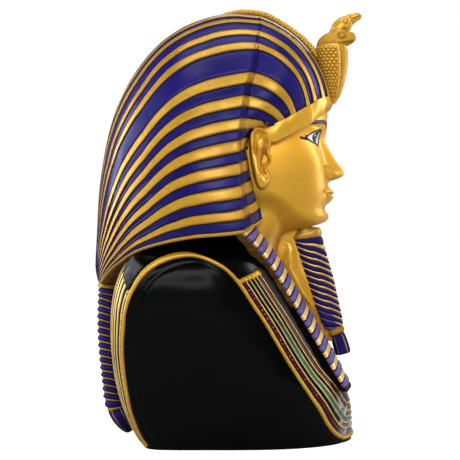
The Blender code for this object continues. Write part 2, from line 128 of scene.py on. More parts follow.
def build(name, points, quads, materials, tris=None, index=None, fields=None, smooth_faces=True):
    """A mesh from millimetre points. index is one material number a face, quads first; fields are vertex values."""
    points = np.asarray(points, float)
    quads = np.asarray(quads, int).reshape(-1, 4)
    tris = np.zeros((0, 3), int) if tris is None else np.asarray(tris, int).reshape(-1, 3)
    flat = np.concatenate([quads[:, [0, 1, 2]], quads[:, [0, 2, 3]], tris])
    a, b, c = (points[flat[:, k]] * np.array([1, -1, 1]) for k in range(3))
    if np.einsum("ij,ij->i", a, np.cross(b, c)).sum() > 0:
        quads, tris = quads[:, ::-1], tris[:, ::-1]
    world = np.stack([-points[:, 1], -(points[:, 0] - CENTRE_U), points[:, 2]], axis=1) / 1000
    mesh = bpy.data.meshes.new(name)
    mesh.from_pydata(world.tolist(), [], quads.tolist() + tris.tolist())
    for material in materials:
        mesh.materials.append(material)
    if index is not None:
        mesh.polygons.foreach_set("material_index", np.asarray(index, np.int32))
    mesh.polygons.foreach_set("use_smooth", np.full(len(mesh.polygons), smooth_faces))
    for key, values in (fields or {}).items():
        layer = mesh.attributes.new(key, "FLOAT", "POINT")
        layer.data.foreach_set("value", np.asarray(values, np.float32).reshape(-1))
    mesh.update()
    obj = bpy.data.objects.new(name, mesh)
    bpy.context.scene.collection.objects.link(obj)
    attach(obj, "root")
    return obj


def normals(grid, wrap=False):
    if wrap:
        along = np.roll(grid, -1, axis=1) - np.roll(grid, 1, axis=1)
    else:
        along = np.gradient(grid, axis=1)
    return unit(np.cross(np.gradient(grid, axis=0), along))


def outward(normal, grid, centre):
    """normal turned to point away from centre."""
    return normal * np.sign(((grid - np.asarray(centre, float)) * normal).sum(axis=-1, keepdims=True))


# ---------------------------------------------------------------- materials
class Nodes:
    def __init__(self, name):
        self.material = bpy.data.materials.new(name)
        self.material.use_nodes = True
        self.tree = self.material.node_tree
        self.shader = self.tree.nodes["Principled BSDF"]
        self.where = self.tree.nodes.new("ShaderNodeTexCoord").outputs["Object"]

    def add(self, kind, settings=None, **inputs):
        node = self.tree.nodes.new(kind)
        for key, value in (settings or {}).items():
            setattr(node, key, value)
        for key, value in inputs.items():
            socket = node.inputs[int(key[1:])] if key[0] == "i" and key[1:].isdigit() else node.inputs[key.replace("_", " ")]
            self.put(socket, value)
        return node

    def put(self, socket, value):
        if isinstance(value, bpy.types.NodeSocket):
            self.tree.links.new(value, socket)
        else:
            socket.default_value = value

    def field(self, name):
        node = self.tree.nodes.new("ShaderNodeAttribute")
        node.attribute_name = name
        return node.outputs["Fac"]

    def noise(self, scale, detail=3.0, rough=0.55, where=None, stretch=None):
        where = where or self.where
        if stretch:
            where = self.add("ShaderNodeMapping", i0=where, Scale=stretch).outputs[0]
        return self.add("ShaderNodeTexNoise", Vector=where, Scale=scale, Detail=detail, Roughness=rough).outputs["Fac"]

    def math(self, kind, a, b=0.0, c=None, clamp=False):
        node = self.add("ShaderNodeMath", {"operation": kind, "use_clamp": clamp}, i0=a, i1=b)
        if c is not None:
            self.put(node.inputs[2], c)
        return node.outputs[0]

    def between(self, value, low, high, soft=0.05):
        up = self.range(value, low - soft, low + soft)
        down = self.range(value, high + soft, high - soft)
        return self.math("MULTIPLY", up, down)

    def range(self, value, low, high, to_low=0.0, to_high=1.0):
        return self.add("ShaderNodeMapRange", {"clamp": True}, Value=value, i1=low, i2=high, i3=to_low, i4=to_high).outputs[0]

    def mix(self, factor, a, b):
        node = self.add("ShaderNodeMix", {"data_type": "RGBA"})
        self.put(node.inputs[0], factor)
        self.put(node.inputs[6], a)
        self.put(node.inputs[7], b)
        return node.outputs[2]

    def bump(self, height, strength, distance, after=None):
        node = self.add("ShaderNodeBump", Height=height, Strength=strength, Distance=distance)
        if after is not None:
            self.put(node.inputs["Normal"], after)
        return node.outputs[0]

    def done(self, **inputs):
        for key, value in inputs.items():
            self.put(self.shader.inputs[key.replace("_", " ")], value)
        return self.material


def srgb(r, g, b):
    def lin(v):
        v /= 255
        return v / 12.92 if v <= 0.04045 else ((v + 0.055) / 1.055) ** 2.4
    return (lin(r), lin(g), lin(b), 1.0)


# the fourth colour is the brown used for painted shade
GOLD_MID, GOLD_LIGHT, GOLD_DEEP, SHADE_BROWN = srgb(185, 138, 27), srgb(198, 156, 43), srgb(154, 103, 17), srgb(94, 42, 8)

# a lighter gold, mixed in as painted light
LIT_GOLD = srgb(240, 178, 46)


def gold_colour(n, shading=None):
    """Hand-brushed gold: three tones, fine mottling, and, where the field says, painted shade in brown (positive
    values) and a painted cream highlight (negative values).
    """
    broad = n.range(n.noise(28, 3), 0.35, 0.68)
    fine = n.range(n.noise(420, 4, 0.6), 0.42, 0.72)
    tone = n.mix(broad, GOLD_MID, GOLD_LIGHT)
    tone = n.mix(n.math("MULTIPLY", fine, 0.35), tone, GOLD_DEEP)
    if shading is not None:
        shade_amount = n.math("MULTIPLY", shading, n.range(n.noise(160, 4), 0.25, 0.6, 0.6, 1.0), clamp=True)
        tone = n.mix(shade_amount, tone, SHADE_BROWN)
        # painted highlight: negative values of the field mix towards cream
        highlight_amount = n.math("MULTIPLY", shading, -1.0, clamp=True)
        tone = n.mix(highlight_amount, tone, srgb(250, 216, 174))
    return tone


def gold(name="gold_paint", metal=0.4, rough=0.38, shade_and_highlight=True, fine=0.12, painted_light=0.0):
    n = Nodes(name)
    # share of lighter gold painted in as light: one value for the whole piece, or None to read it from the field
    painted_light = n.field("painted_light") if painted_light is None else painted_light
    shading = n.field("shade_and_highlight") if shade_and_highlight else None
    skin = n.noise(900, 3)
    drag = n.noise(120, 4, 0.6)
    bump = n.bump(n.math("ADD", n.math("MULTIPLY", skin, 0.5), drag), fine, 0.0004)
    matt = n.range(n.noise(60, 4), 0.3, 0.7, rough - 0.05, rough + 0.09)
    if shading is not None:
        matt = n.math("ADD", matt, n.range(shading, 0.1, 0.6, 0.0, 0.5))
    return n.done(Base_Color=n.mix(painted_light, gold_colour(n, shading), LIT_GOLD), Metallic=metal, IOR=1.5,
                  Roughness=matt, Normal=bump,
                  Specular_IOR_Level=0.4,
                  Coat_Weight=0.2 if shading is None else n.range(shading, 0.2, 0.5, 0.2, 0.0), Coat_Roughness=0.3)


def blue(name="blue_paint"):
    n = Nodes(name)
    streak = n.range(n.noise(50, 5, 0.65), 0.42, 0.75)
    cloud = n.range(n.noise(22, 3), 0.4, 0.7)
    tone = n.mix(cloud, srgb(21, 13, 86), srgb(29, 19, 102))
    tone = n.mix(n.math("MULTIPLY", streak, 0.5), tone, srgb(40, 32, 122))
    # painted shade towards near-black where the field is positive, a painted lilac highlight where it is negative
    tone = n.mix(n.math("MULTIPLY", n.field("shade_and_highlight"), 0.95, clamp=True), tone, srgb(10, 6, 20))
    tone = n.mix(n.math("MULTIPLY", n.field("shade_and_highlight"), -1.0, clamp=True), tone, srgb(150, 138, 182))
    bump = n.bump(n.noise(260, 4), 0.12, 0.0004)
    matt = n.math("ADD", n.range(n.noise(70, 3), 0.3, 0.7, 0.26, 0.38), n.range(n.field("shade_and_highlight"), 0.1, 0.42, 0.0, 0.6))
    return n.done(Base_Color=tone, Roughness=matt, IOR=1.5, Normal=bump,
                  Specular_IOR_Level=0.14)


def dark_line():
    n = Nodes("outline_paint")
    tone = n.mix(n.noise(300, 3), srgb(10, 5, 9), srgb(30, 15, 14))
    return n.done(Base_Color=tone, Roughness=0.5, Specular_IOR_Level=0.2)


def black(name="black_lacquer"):
    n = Nodes(name)
    tone = n.mix(n.noise(14, 4), srgb(8, 9, 10), srgb(20, 22, 22))
    wave = n.noise(20, 2)
    brush = n.noise(130, 4, 0.6)
    bump = n.bump(n.math("ADD", n.math("MULTIPLY", brush, 0.12), wave), 0.25, 0.0016)
    return n.done(Base_Color=tone, Roughness=n.range(n.noise(30, 4, 0.6), 0.3, 0.7, 0.14, 0.26), IOR=1.45,
                  Normal=bump)


# ---------------------------------------------------------------- headcloth
def cloth_side(eta, root):
    crown = line(CROWN_RISE, root)
    half = line(CLOTH_HALF, root)
    hem = line(HEM_RISE, root)
    along = root**2
    rise = hem + (crown - hem) * eta
    w = half * np.clip(1 - eta**CLOTH_POWER, 0, 1) ** (1 / CLOTH_POWER)
    c, s = math.cos(AXIS_TILT), math.sin(AXIS_TILT)
    return np.stack([POLE[0] + along * c - rise * s, w, POLE[1] + along * s + rise * c], axis=-1)


def drift(eta, share):
    """Stripes sweep a little up behind the crease and run together towards the hem near the pigtail."""
    eta = eta + 0.03 * 4 * eta * (1 - eta) * np.sin(math.pi * np.clip((1 - share) / 0.32, 0, 1))
    near = smooth(0.85, 0.35, share)
    return np.clip(eta - near * 0.055 * (1 - np.exp(-eta / 0.07)) * np.clip((1 - eta) / 0.12, 0, 1), 0, 1)


def front_curves(eta):
    """Crease, second crease and rim for stripe places eta (any shape)."""
    crease = cloth_side(eta, np.sqrt(line(CREASE, eta)))
    rim = spline(FRONT_RIM, eta)
    facet = smooth(0.86, 0.70, eta)
    inner = crease + np.stack([4.6 * facet, -5.5 * facet, 0.3 * facet], axis=-1)
    part = smooth(0.47, 0.39, eta)[..., None]
    inner = inner * (1 - part) + (crease * 0.55 + rim * 0.45) * part
    return crease, inner, rim


def cloth_front(eta, v):
    """The cloth from its rim (v 0) to its crease (v 1)."""
    crease, inner, rim = front_curves(eta)
    chord = unit(inner - rim)
    middle = (inner + rim) / 2 - np.array([0, 0, 200.0])
    out = unit(middle - (middle * chord).sum(axis=-1, keepdims=True) * chord)
    bulge = line(FRONT_BULGE, eta)[..., None]
    t = np.clip(v / 0.86, 0, 1)[..., None]
    f = np.clip((v - 0.86) / 0.14, 0, 1)[..., None]
    body = rim * (1 - t) + inner * t + out * bulge * 4 * t * (1 - t)
    return body * (1 - f) + crease * f


def cloth_point(eta, column):
    """column: below 0 under the rim (the brow band), 0 to 1 rim to crease, 1 to 2 crease to pigtail."""
    eta, column = np.broadcast_arrays(eta, column)
    share = np.clip(2 - column, 0.03, 1)
    run = drift(eta, share)
    root = np.sqrt(line(CREASE, eta)) * share
    side = cloth_side(run, root)
    front = cloth_front(eta, np.clip(column, 0, 1))
    grid = np.where((column > 1)[..., None], side, front)
    rim = spline(FRONT_RIM, eta)
    drop = line(BAND_DROP, eta)
    ahead = smooth(0.38, 0.46, eta)
    low = rim + np.stack([-1.5 * ahead - 1.2 * (1 - ahead), -0.6 * ahead - 1.4 * (1 - ahead), -drop], axis=-1)
    b = np.clip(-column, 0, 1)[..., None]
    outer = unit(np.stack([rim[..., 0] - 15, rim[..., 1], 0 * eta], axis=-1))
    band = rim * (1 - b) + low * b + outer * (1.2 * 4 * b * (1 - b) * ahead[..., None])
    return np.where((column < 0)[..., None], band, grid)


def headcloth(mats):
    GOLD, LINE, BLUE = 0, 1, 2
    # rows: (paint edge, millimetres past it towards the hem, height, strip kind below)
    rows = []
    for k, (centre, half) in enumerate(RIBS):
        top, low = min(centre + half, 1.0), max(centre - half, 0.0)
        if k:
            rows += [(top, -1.2, 0.26, BLUE), (top, -1.1, -0.02, LINE), (top, -0.12, -0.02, LINE),
                     (top, 0.12, 0.66, GOLD)]
        inner = np.linspace(top, low, 5 if 0 < k < len(RIBS) - 1 else 3)[1:-1]
        if k == 0:
            rows.append((1.0, 0.0, 0.70, GOLD))
            inner = [1.0 - half * 0.5]
        rows += [(e, 0.0, 0.78, GOLD) for e in inner]
        if k < len(RIBS) - 1:
            rows += [(low, -0.12, 0.66, LINE), (low, 0.12, -0.02, LINE), (low, 1.1, -0.02, BLUE),
                     (low, 1.2, 0.26, BLUE)]
            nxt = RIBS[k + 1][0] + RIBS[k + 1][1]
            count = 6 if low - nxt > 0.08 else 4
            rows += [(e, 0.0, 0.36, BLUE) for e in np.linspace(low, nxt, count + 1)[1:-1]]
        else:
            rows.append((0.0, 0.0, 0.70, GOLD))
    edge = np.array([r[0] for r in rows])
    past = np.array([r[1] for r in rows])
    high = np.array([r[2] for r in rows])
    kind = np.array([r[3] for r in rows])
    starts = np.array([0, 0.005, 0.014, 0.02])
    columns = np.concatenate([[-1.0, -0.96, -0.88, -0.7, -0.5, -0.3, -0.14, -0.05], starts,
                              np.linspace(0.07, 0.84, 26), [0.86, 0.88, 0.93, 0.97, 0.985, 1.0, 1.006],
                              1 + np.linspace(0.012, 0.97, 196)])
    m = len(columns)
    # millimetres a unit of stripe place is worth, at each place and column
    e2, c2 = edge[:, None], columns[None, :]
    lo_e, hi_e = np.clip(e2 - 0.004, 0, 1), np.clip(e2 + 0.004, 0, 1)
    worth = np.linalg.norm(cloth_point(hi_e, c2) - cloth_point(lo_e, c2), axis=-1) / (hi_e - lo_e)
    worth = np.maximum(worth, 3.0)
    width = np.array([min(abs(e - f) for f in [r + s for r, s2 in RIBS for s in (s2, -s2)]
                          if abs(e - f) > 1e-6) for e in edge])[:, None] * worth
    reach = np.minimum(1.0, 0.38 * width / 1.2)
    hand = 0.22 * waves(cloth_point(e2, c2), 9.0, 3) * (np.abs(past[:, None]) > 0) * reach
    eta = np.clip(e2 - (past[:, None] * reach + hand) / worth, 0, 1)
    eta = np.minimum.accumulate(eta, axis=0)
    eta[0] = 1.0
    grid = cloth_point(eta, c2)
    grid[0, :, 1] = 0
    # stripes stop at the brow band
    mid = np.append((edge[:-1] + edge[1:]) / 2, 0)
    crown = (edge > 0.455)[:, None]
    height = high[:, None] * np.ones((1, m))
    gap = np.array([0.7 if c < 0.001 else (-0.02 if c < 0.016 else 9) for c in columns])[None, :]
    height = np.where(crown & (c2 < 0.016) & (height < 0.5), np.where(gap < 9, gap, height), height)
    height = np.where((c2 < -0.0) & crown, 0.7, height)
    height = np.where(c2 < -0.0001, height, height * np.minimum(1, 0.35 + 0.65 * reach))
    height = height * smooth(1.975, 1.90, columns)[None, :] + 0.12 * waves(grid, 14.0, 5) * np.where(c2 < 0, 0.2, 1)
    normal = outward(normals(grid), grid, (-10, 0, 170))
    normal[0, :, 1] = 0
    normal = unit(normal)
    grid = grid + normal * (height - 0.95)[..., None]
    grid[0, :, 1] = 0
    n = len(rows)
    # the hem turns under, and the rim turns in behind the brow band
    inward = unit(np.stack([-12 - grid[-1, :, 0], -grid[-1, :, 1], 0 * grid[-1, :, 0]], axis=-1))
    hems = [grid[-1] + np.array([0, 0, -0.9]) + inward * 0.2, grid[-1] + np.array([0, 0, -1.3]) + inward * 1.6,
            grid[-1] + np.array([0, 0, -0.2]) + inward * 8, grid[-1] + np.array([0, 0, 4.0]) + inward * 18]
    grid = np.concatenate([grid, np.array(hems)])
    total = len(grid)
    aim = unit(np.stack([14 - grid[:, 0, 0], -grid[:, 0, 1], 0 * grid[:, 0, 0]], axis=-1))
    tucks = [grid[:, 0] + aim * 1.3 - np.array([0, 0, 0.7]) * smooth(0.3, 0.6, np.append(edge, [0] * 4))[:, None],
             grid[:, 0] + aim * 9]
    tucks = np.array(tucks[::-1]).transpose(1, 0, 2)
    grid = np.concatenate([tucks, grid], axis=1)
    m = grid.shape[1]
    grid[0, :, 1] = 0
    face_kind = np.empty((total - 1, m - 1), int)
    kinds = np.append(kind, [GOLD] * 4)
    face_kind[:] = kinds[:-1, None]
    face_kind[n - 1:] = GOLD
    upper = (np.append(mid, [0] * 4)[:-1] > 0.455)[:, None]
    col = np.concatenate([[-2, -1.5], columns])[None, :-1]
    face_kind = np.where(upper & (col < -0.0001), GOLD, face_kind)
    face_kind = np.where(upper & (col > -0.0001) & (col < 0.013) & (face_kind != GOLD), LINE, face_kind)
    shade_and_highlight = np.zeros(grid.shape[:2])
    # painted shade: the hem's turned-under rows are painted dark
    shade_and_highlight[n:] = [[0.25], [0.7], [1.0], [1.0]]
    # painted shade: the rim turned in behind the brow band is painted dark
    shade_and_highlight[:, :2] = 1.0
    place = np.concatenate([[-2, -1.5], columns])[None, :]
    # painted shade along the edges of each gold rib
    shade_and_highlight[:n] += (0.45 * (np.abs(past) > 0.1) * (high > 0.5))[:, None] * (place > 0.04)
    # painted shade on the facet in front of the crease, on gold and blue
    facet = smooth(0.865, 0.885, place) * smooth(1.004, 0.985, place) * smooth(0.85, 0.70, edge)[:, None]
    shade_and_highlight[:n] += np.where((kind == BLUE)[:, None], 0.4, 0.38) * facet
    # all cloth past the brow band is painted a little darker
    shade_and_highlight[:n] += 0.1 * (place > 0.02)
    # painted shade on the lower stripes near the front rim
    lower = (np.append(edge, [0] * 4) < 0.42)[:, None]
    shade_and_highlight = np.clip(shade_and_highlight + lower * smooth(0.2, -0.4, place) * 0.35, 0, 1)
    # painted highlight: the middle rows of the gold ribs towards the pigtail are painted cream
    shade_and_highlight[:n] -= 0.5 * ((kind == GOLD) & (np.abs(past) < 0.01) & (edge < 0.93))[:, None] * smooth(1.5, 1.85, place)
    pole = np.array([[POLE[0] - 0.2, 0, POLE[1]]])
    mirrored = grid[1:] * np.array([1, -1, 1])
    points = np.concatenate([grid.reshape(-1, 3), mirrored.reshape(-1, 3), pole])
    right = np.arange(total * m).reshape(total, m)
    left = np.vstack([right[:1], total * m + np.arange((total - 1) * m).reshape(total - 1, m)])
    quads, tris, index, tri_index = [], [], [], []
    for sign, side in ((1, right), (-1, left)):
        q = np.stack([side[:-1, :-1], side[1:, :-1], side[1:, 1:], side[:-1, 1:]], axis=-1).reshape(-1, 4)
        quads.append(q[:, ::sign])
        index.append(face_kind.reshape(-1))
        t = np.stack([side[:-1, -1], side[1:, -1], np.full(total - 1, len(points) - 1)], axis=-1)
        tris.append(t[:, ::sign])
        tri_index.append(face_kind[:, -1])
    rim_r = np.concatenate([right[1:, 0], right[-1, 1:]])
    rim_l = np.concatenate([left[1:, 0], left[-1, 1:]])
    quads.append(np.stack([rim_r[:-1], rim_l[:-1], rim_l[1:], rim_r[1:]], axis=-1)[:, ::-1])
    index.append(np.full(len(rim_r) - 1, GOLD))
    tris.append(np.array([[right[0, 0], rim_l[0], rim_r[0]], [rim_r[-1], rim_l[-1], len(points) - 1]]))
    tri_index.append(np.array([GOLD, GOLD]))
    # painted light: the brow band is painted a lighter gold
    painted_light = 0.45 * smooth(0.02, -0.05, place) * (1 - lower) + 0 * shade_and_highlight
    fields = {"shade_and_highlight": np.concatenate([shade_and_highlight.reshape(-1), shade_and_highlight[1:].reshape(-1), [0]]),
              "painted_light": np.concatenate([painted_light.reshape(-1), painted_light[1:].reshape(-1), [0]])}
    obj = build("headcloth", points, np.concatenate(quads), mats, np.concatenate(tris),
                np.concatenate(index + tri_index), fields)
    return obj


# ---------------------------------------------------------------- head
HEAD_FRONT = [(122, 28), (130, 31), (136, 33.5), (140, 37.5), (143, 47.5), (145.8, 58.5), (148.8, 64.8), (152.5, 67.2),
              (158, 66.2), (164, 66.4), (172, 66.9), (180, 66.6), (190, 65.2), (199, 63.8), (206, 63.2),
              (212, 65.2), (218, 67.2), (226, 68.2), (236, 66)]
HEAD_HALF = [(122, 30), (134, 28.5), (140, 29), (150, 31.5), (158, 34), (166, 36.6), (176, 38.6), (186, 40),
             (196, 40.8), (206, 40.6), (216, 41), (226, 41), (236, 39)]


def blob(w, z, w0, z0, half_w, half_z):
    return np.exp(-((w - w0) / half_w) ** 2 - ((z - z0) / half_z) ** 2)


def almond(w, z):
    """How far inside the eye opening a place is, in millimetres: positive inside."""
    t = np.clip((w - 8.2) / 19.8, 0, 1)
    arc = np.sin(math.pi * t)
    top = 205.2 + 5.4 * arc**0.75 + 0.8 * t
    low = 205.2 - 3.4 * arc**0.8 + 0.8 * t
    inside = np.minimum(top - z, z - low)
    return np.where((w < 8.2) | (w > 28), np.minimum(inside, -np.abs(w - np.clip(w, 8.2, 28))), inside)


def face(w, z):
    """Forward relief of the features, in millimetres: (relief, fields for the paint)."""
    a = np.abs(w)
    out = np.zeros_like(w)
    # brow, sockets, temples, cheeks
    out += 1.3 * blob(a, z, 15, 215.5, 15, 3.4) + 0.8 * blob(a, z, 0, 212.5, 7, 4)
    out -= 4.6 * blob(a, z, 13.5, 205.5, 9.5, 7.0) + 2.6 * blob(a, z, 26, 206, 9, 6)
    out += 1.9 * blob(a, z, 26, 190, 11, 9) + 0.8 * blob(a, z, 17, 176, 8, 10)
    # eyes: lids round an almond, ball inside
    depth = almond(a, z)
    ball = 3.6 * blob(a, z, 17.8, 205.8, 10.5, 6.6)
    out += ball
    rim = np.exp(-((depth + 0.9) / 0.85) ** 2)
    out += 0.75 * rim - 0.55 * smooth(-0.1, 0.9, depth)
    out -= 0.9 * np.exp(-((z - 213.2 - 0.05 * (a - 17)) / 1.0) ** 2) * smooth(7, 11, a) * smooth(30, 24, a)
    # nose
    height = line([(175.6, 0), (177.6, 3.0), (179.2, 8.0), (181.2, 11.4), (184.0, 12.4), (187.5, 11.4), (193, 8.9),
                   (199, 6.5), (205, 4.2), (210, 2.2), (216, 0)], z)
    half = line([(176, 7.2), (181, 7.0), (185, 6.4), (190, 5.2), (198, 4.3), (206, 4.2), (212, 5.6), (217, 8)], z)
    out += height * np.exp(-(a / half) ** 2.5)
    out += 1.0 * blob(a, z, 0, 184.0, 4.6, 3.8)
    wing = blob(a, z, 8.6, 183.0, 3.3, 3.9)
    out += 5.2 * wing
    out -= 1.5 * np.exp(-((np.hypot((a - 7.6) / 1.15, (z - 183.4)) - 5.6) / 0.9) ** 2) * smooth(7, 10, a)
    out -= 5.0 * blob(a, z, 4.7, 179.2, 2.0, 1.1)
    # mouth
    out += 2.6 * blob(a, z, 0, 168.0, 15, 8.5)
    out -= 0.9 * blob(a, z, 0, 175.6, 1.9, 2.8)
    reach = np.clip(1 - (a / 14.6) ** 2, 0, 1)
    part = 168.2 + 0.5 * (a / 10) ** 2 - 0.5 * blob(a, z, 0, 168, 3, 30)
    top = part + (5.4 + 0.9 * np.exp(-((a - 3.2) / 2.4) ** 2)) * reach**0.75
    low = part - 6.6 * reach**0.8
    up = np.clip((z - part) / np.maximum(top - part, 0.4), 0, 1)
    down = np.clip((part - z) / np.maximum(part - low, 0.4), 0, 1)
    out += 3.9 * reach**0.6 * np.where(z > part, np.where(z < top, (1 - up) ** 0.55 * np.clip(0.35 + up * 2.4, 0, 1), 0), 0)
    out += 3.9 * reach**0.6 * np.where(z <= part, np.where(z > low, (1 - down) ** 0.6 * np.clip(0.35 + down * 2.4, 0, 1), 0), 0)
    out -= 1.0 * np.exp(-((z - part) / 0.55) ** 2) * smooth(16.0, 12.5, a)
    out -= 1.6 * blob(a, z, 15.6, 168.8, 2.2, 2.0)
    out -= 1.3 * blob(a, z, 0, 158.4, 9, 2.6)
    out += 1.6 * blob(a, z, 0, 152, 9.5, 5)
    # painted lines: eye, brow
    sweep = 204.8 + 0.018 * (a - 27) ** 2
    tail = np.minimum(1.0 - np.abs(z - sweep) * 1.0, (33.0 - a) * 0.3)
    tail = np.where(a > 25, tail, -9)
    brow_line = 217.2 - 0.0145 * (a - 19) ** 2 - 0.00013 * np.clip(a - 19, 0, 99) ** 3
    brow = np.minimum(1.5 - np.abs(z - brow_line) - 0.8 * smooth(26, 37, a), np.minimum(a - 5.2, (37.5 - a) * 0.6))
    iris = 4.7 - np.hypot((a - 18.2) * 0.95, z - 206.4)
    return out, {"eye": depth, "tail": tail, "brow": brow, "iris": iris}


def head_grid():
    fine = np.radians(np.arange(-78, 78.01, 0.52))
    wide = np.radians([81, 85, 90, 95, 101, 110, 122, 136, 150, 165, 180, 195, 210, 224, 238, 250, 259, 265, 270, 275, 279])
    theta = np.concatenate([fine, wide])[None, :]
    zs = np.concatenate([np.arange(122, 142, 0.8), np.arange(142, 222, 0.38), np.arange(222, 237, 1.2)])[:, None]
    theta, z = np.broadcast_arrays(theta, zs)
    c, s = np.cos(theta), np.sin(theta)
    turn = np.degrees(np.abs((theta + math.pi) % (2 * math.pi) - math.pi))
    # the jaw rises towards the ear; below it the neck takes over
    jaw = 144.5 + 20.5 * smooth(14, 82, turn) ** 1.15
    lift = np.maximum(z, jaw - 1.5)
    front, half = line(HEAD_FRONT, np.where(turn < 95, np.maximum(z, 0), z)), line(HEAD_HALF, z)
    reach = np.where(c > 0, np.maximum(front, 20 + 0 * z) - HEAD_AXIS_U, 50.0)
    p = 2.3
    skull = (np.abs(c / reach) ** p + np.abs(s / half) ** p) ** (-1 / p)
    neck_front = line([(122, 13.5), (134, 16.5), (146, 21), (160, 25), (240, 30)], z)
    neck = (np.abs(c / np.where(c > 0, neck_front, 45)) ** 2.1 + np.abs(s / 27.5) ** 2.1) ** (-1 / 2.1)
    blend = smooth(-11.0, 5.0, z - jaw)
    radius = neck + (skull - neck) * blend
    w = radius * s
    relief, fields = face(w, z)
    keep = smooth(0.02, 0.5, c) * smooth(-4, 2, z - jaw)
    grid = np.stack([HEAD_AXIS_U + radius * c + relief * keep, w, z + 0 * radius], axis=-1)
    return grid, {k: np.where(c > 0.05, v, -9) for k, v in fields.items()}


def face_paint():
    n = Nodes("face_paint")
    # lighter gold is mixed in where the field says, as painted light
    base = n.mix(n.field("painted_light"), gold_colour(n, n.field("shade_and_highlight")), LIT_GOLD)
    lips = n.field("eye")
    eye = n.range(lips, -0.02, 0.1)
    outline = n.between(lips, -1.75, 0.12, 0.08)
    tail = n.range(n.field("tail"), -0.1, 0.1)
    brow = n.range(n.field("brow"), -0.1, 0.1)
    iris = n.math("MULTIPLY", n.range(n.field("iris"), -0.1, 0.1), eye)
    ink = srgb(12, 10, 14)
    colour = n.mix(n.math("MAXIMUM", outline, tail), base, ink)
    colour = n.mix(brow, colour, n.mix(n.noise(200, 3), srgb(24, 22, 34), srgb(52, 50, 66)))
    white = n.mix(n.noise(90, 3), srgb(238, 240, 244), srgb(214, 218, 226))
    colour = n.mix(eye, colour, white)
    colour = n.mix(iris, colour, ink)
    # painted highlight: a small white catchlight in each eye
    painted_glint = n.range(n.field("painted_glint"), -0.1, 0.1)
    colour = n.mix(painted_glint, colour, srgb(240, 240, 245))
    paint = n.math("MAXIMUM", n.math("MAXIMUM", outline, tail), n.math("MAXIMUM", brow, eye))
    bump = n.bump(n.noise(500, 3), 0.07, 0.0004)
    return n.done(Base_Color=colour, Metallic=n.range(paint, 0, 1, 0.4, 0.0),
                  Roughness=n.range(paint, 0, 1, 0.43, 0.5), Specular_IOR_Level=0.4, Normal=bump,
                  Coat_Weight=n.range(paint, 0, 1, 0.16, 0.0), Coat_Roughness=0.35)


def head(mats):
    grid, fields = head_grid()
    n, m = grid.shape[:2]
    ends = np.array([[HEAD_AXIS_U - 10, 0, grid[0, 0, 2]], [HEAD_AXIS_U - 10, 0, grid[-1, 0, 2]]])
    points = np.concatenate([grid.reshape(-1, 3), ends])
    j = np.arange(m)
    tris = np.concatenate([np.stack([(j + 1) % m, j, np.full(m, n * m)], axis=1),
                           np.stack([(n - 1) * m + j, (n - 1) * m + (j + 1) % m, np.full(m, n * m + 1)], axis=1)])
    w, z = grid[..., 1], grid[..., 2]
    a = np.abs(w)
    # painted shade: dark in the nostril crease, along the lips' parting, in the nostrils, under the jaw and down the
    # neck, and in a ring round each eye
    shade_and_highlight = 0.55 * np.exp(-((np.hypot((a - 7.6) / 1.15, z - 183.4) - 5.6) / 0.8) ** 2) * smooth(7.5, 10, a) * (grid[..., 0] > 50)
    shade_and_highlight += 0.5 * np.exp(-((z - 168.3) / 0.6) ** 2) * smooth(15.5, 12, a) * (grid[..., 0] > 50)
    shade_and_highlight += 0.8 * blob(a, z, 4.7, 179.0, 2.2, 1.2)
    shade_and_highlight += 0.65 * smooth(156, 134, z)
    shade_and_highlight += 0.3 * np.exp(-(fields["eye"] + 2.4) ** 2 / 1.5)
    # painted light: the upper face and temples are painted a lighter gold, the jaw and neck less
    painted_light = 0.3 + 0.6 * smooth(176, 204, z) + 0.15 * smooth(26, 36, a) * smooth(172, 186, z)
    extra = {"shade_and_highlight": np.clip(shade_and_highlight, 0, 0.9), "painted_light": np.clip(painted_light, 0, 1), **fields}
    # a painted catchlight: white within 0.8 mm of a point in each eye
    extra["painted_glint"] = 0.8 - np.hypot(a - 20.0, z - 208.0)
    packed = {k: np.append(v.reshape(-1), [-9, -9]) for k, v in extra.items()}
    return build("head", points, grid_faces(n, m, wrap=True), mats, tris, fields=packed)


EAR = [(12.2, 203), (13.2, 208), (17.5, 211.2), (22.6, 210.6), (26.6, 206), (27.6, 200), (26.4, 195), (27.9, 191.8),
       (27.0, 188.0), (24.6, 185), (26.6, 180.5), (26.2, 175), (23, 171), (19.2, 171), (16.6, 176), (14.4, 185),
       (12.8, 194)]


def closed_curve(points, count):
    p = np.asarray(points, float)
    around = np.concatenate([p[-2:], p, p[:3]])
    ring = spline(np.column_stack([np.arange(-2, len(p) + 3), around]), np.linspace(0, len(p), count, endpoint=False))
    return ring


def distances(x, y, path, closed=False):
    """Distance to a polyline, share of its length at the nearest place, and side (positive to the left)."""
    a = path if closed else path[:-1]
    b = np.roll(path, -1, axis=0) if closed else path[1:]
    steps = np.hypot(*(b - a).T)
    before = np.concatenate([[0], np.cumsum(steps)[:-1]])
    shape = x.shape
    x, y = x.reshape(-1), y.reshape(-1)
    best, where, side = np.full(len(x), 1e9), np.zeros(len(x)), np.zeros(len(x))
    for k in range(len(a)):
        d = b[k] - a[k]
        t = np.clip(((x - a[k, 0]) * d[0] + (y - a[k, 1]) * d[1]) / max(d @ d, 1e-9), 0, 1)
        gx, gy = x - a[k, 0] - t * d[0], y - a[k, 1] - t * d[1]
        r = np.hypot(gx, gy)
        near = r < best
        best[near] = r[near]
        where[near] = (before[k] + t * steps[k])[near]
        side[near] = np.sign(d[0] * gy - d[1] * gx)[near]
    return best.reshape(shape), where.reshape(shape), side.reshape(shape)


def inside_polygon(x, y, poly):
    hit = np.zeros(x.shape, bool)
    for (x0, y0), (x1, y1) in zip(poly, np.roll(poly, -1, axis=0)):
        if y0 != y1:
            hit ^= ((y0 > y) != (y1 > y)) & (x < (x1 - x0) * (y - y0) / (y1 - y0) + x0)
    return hit


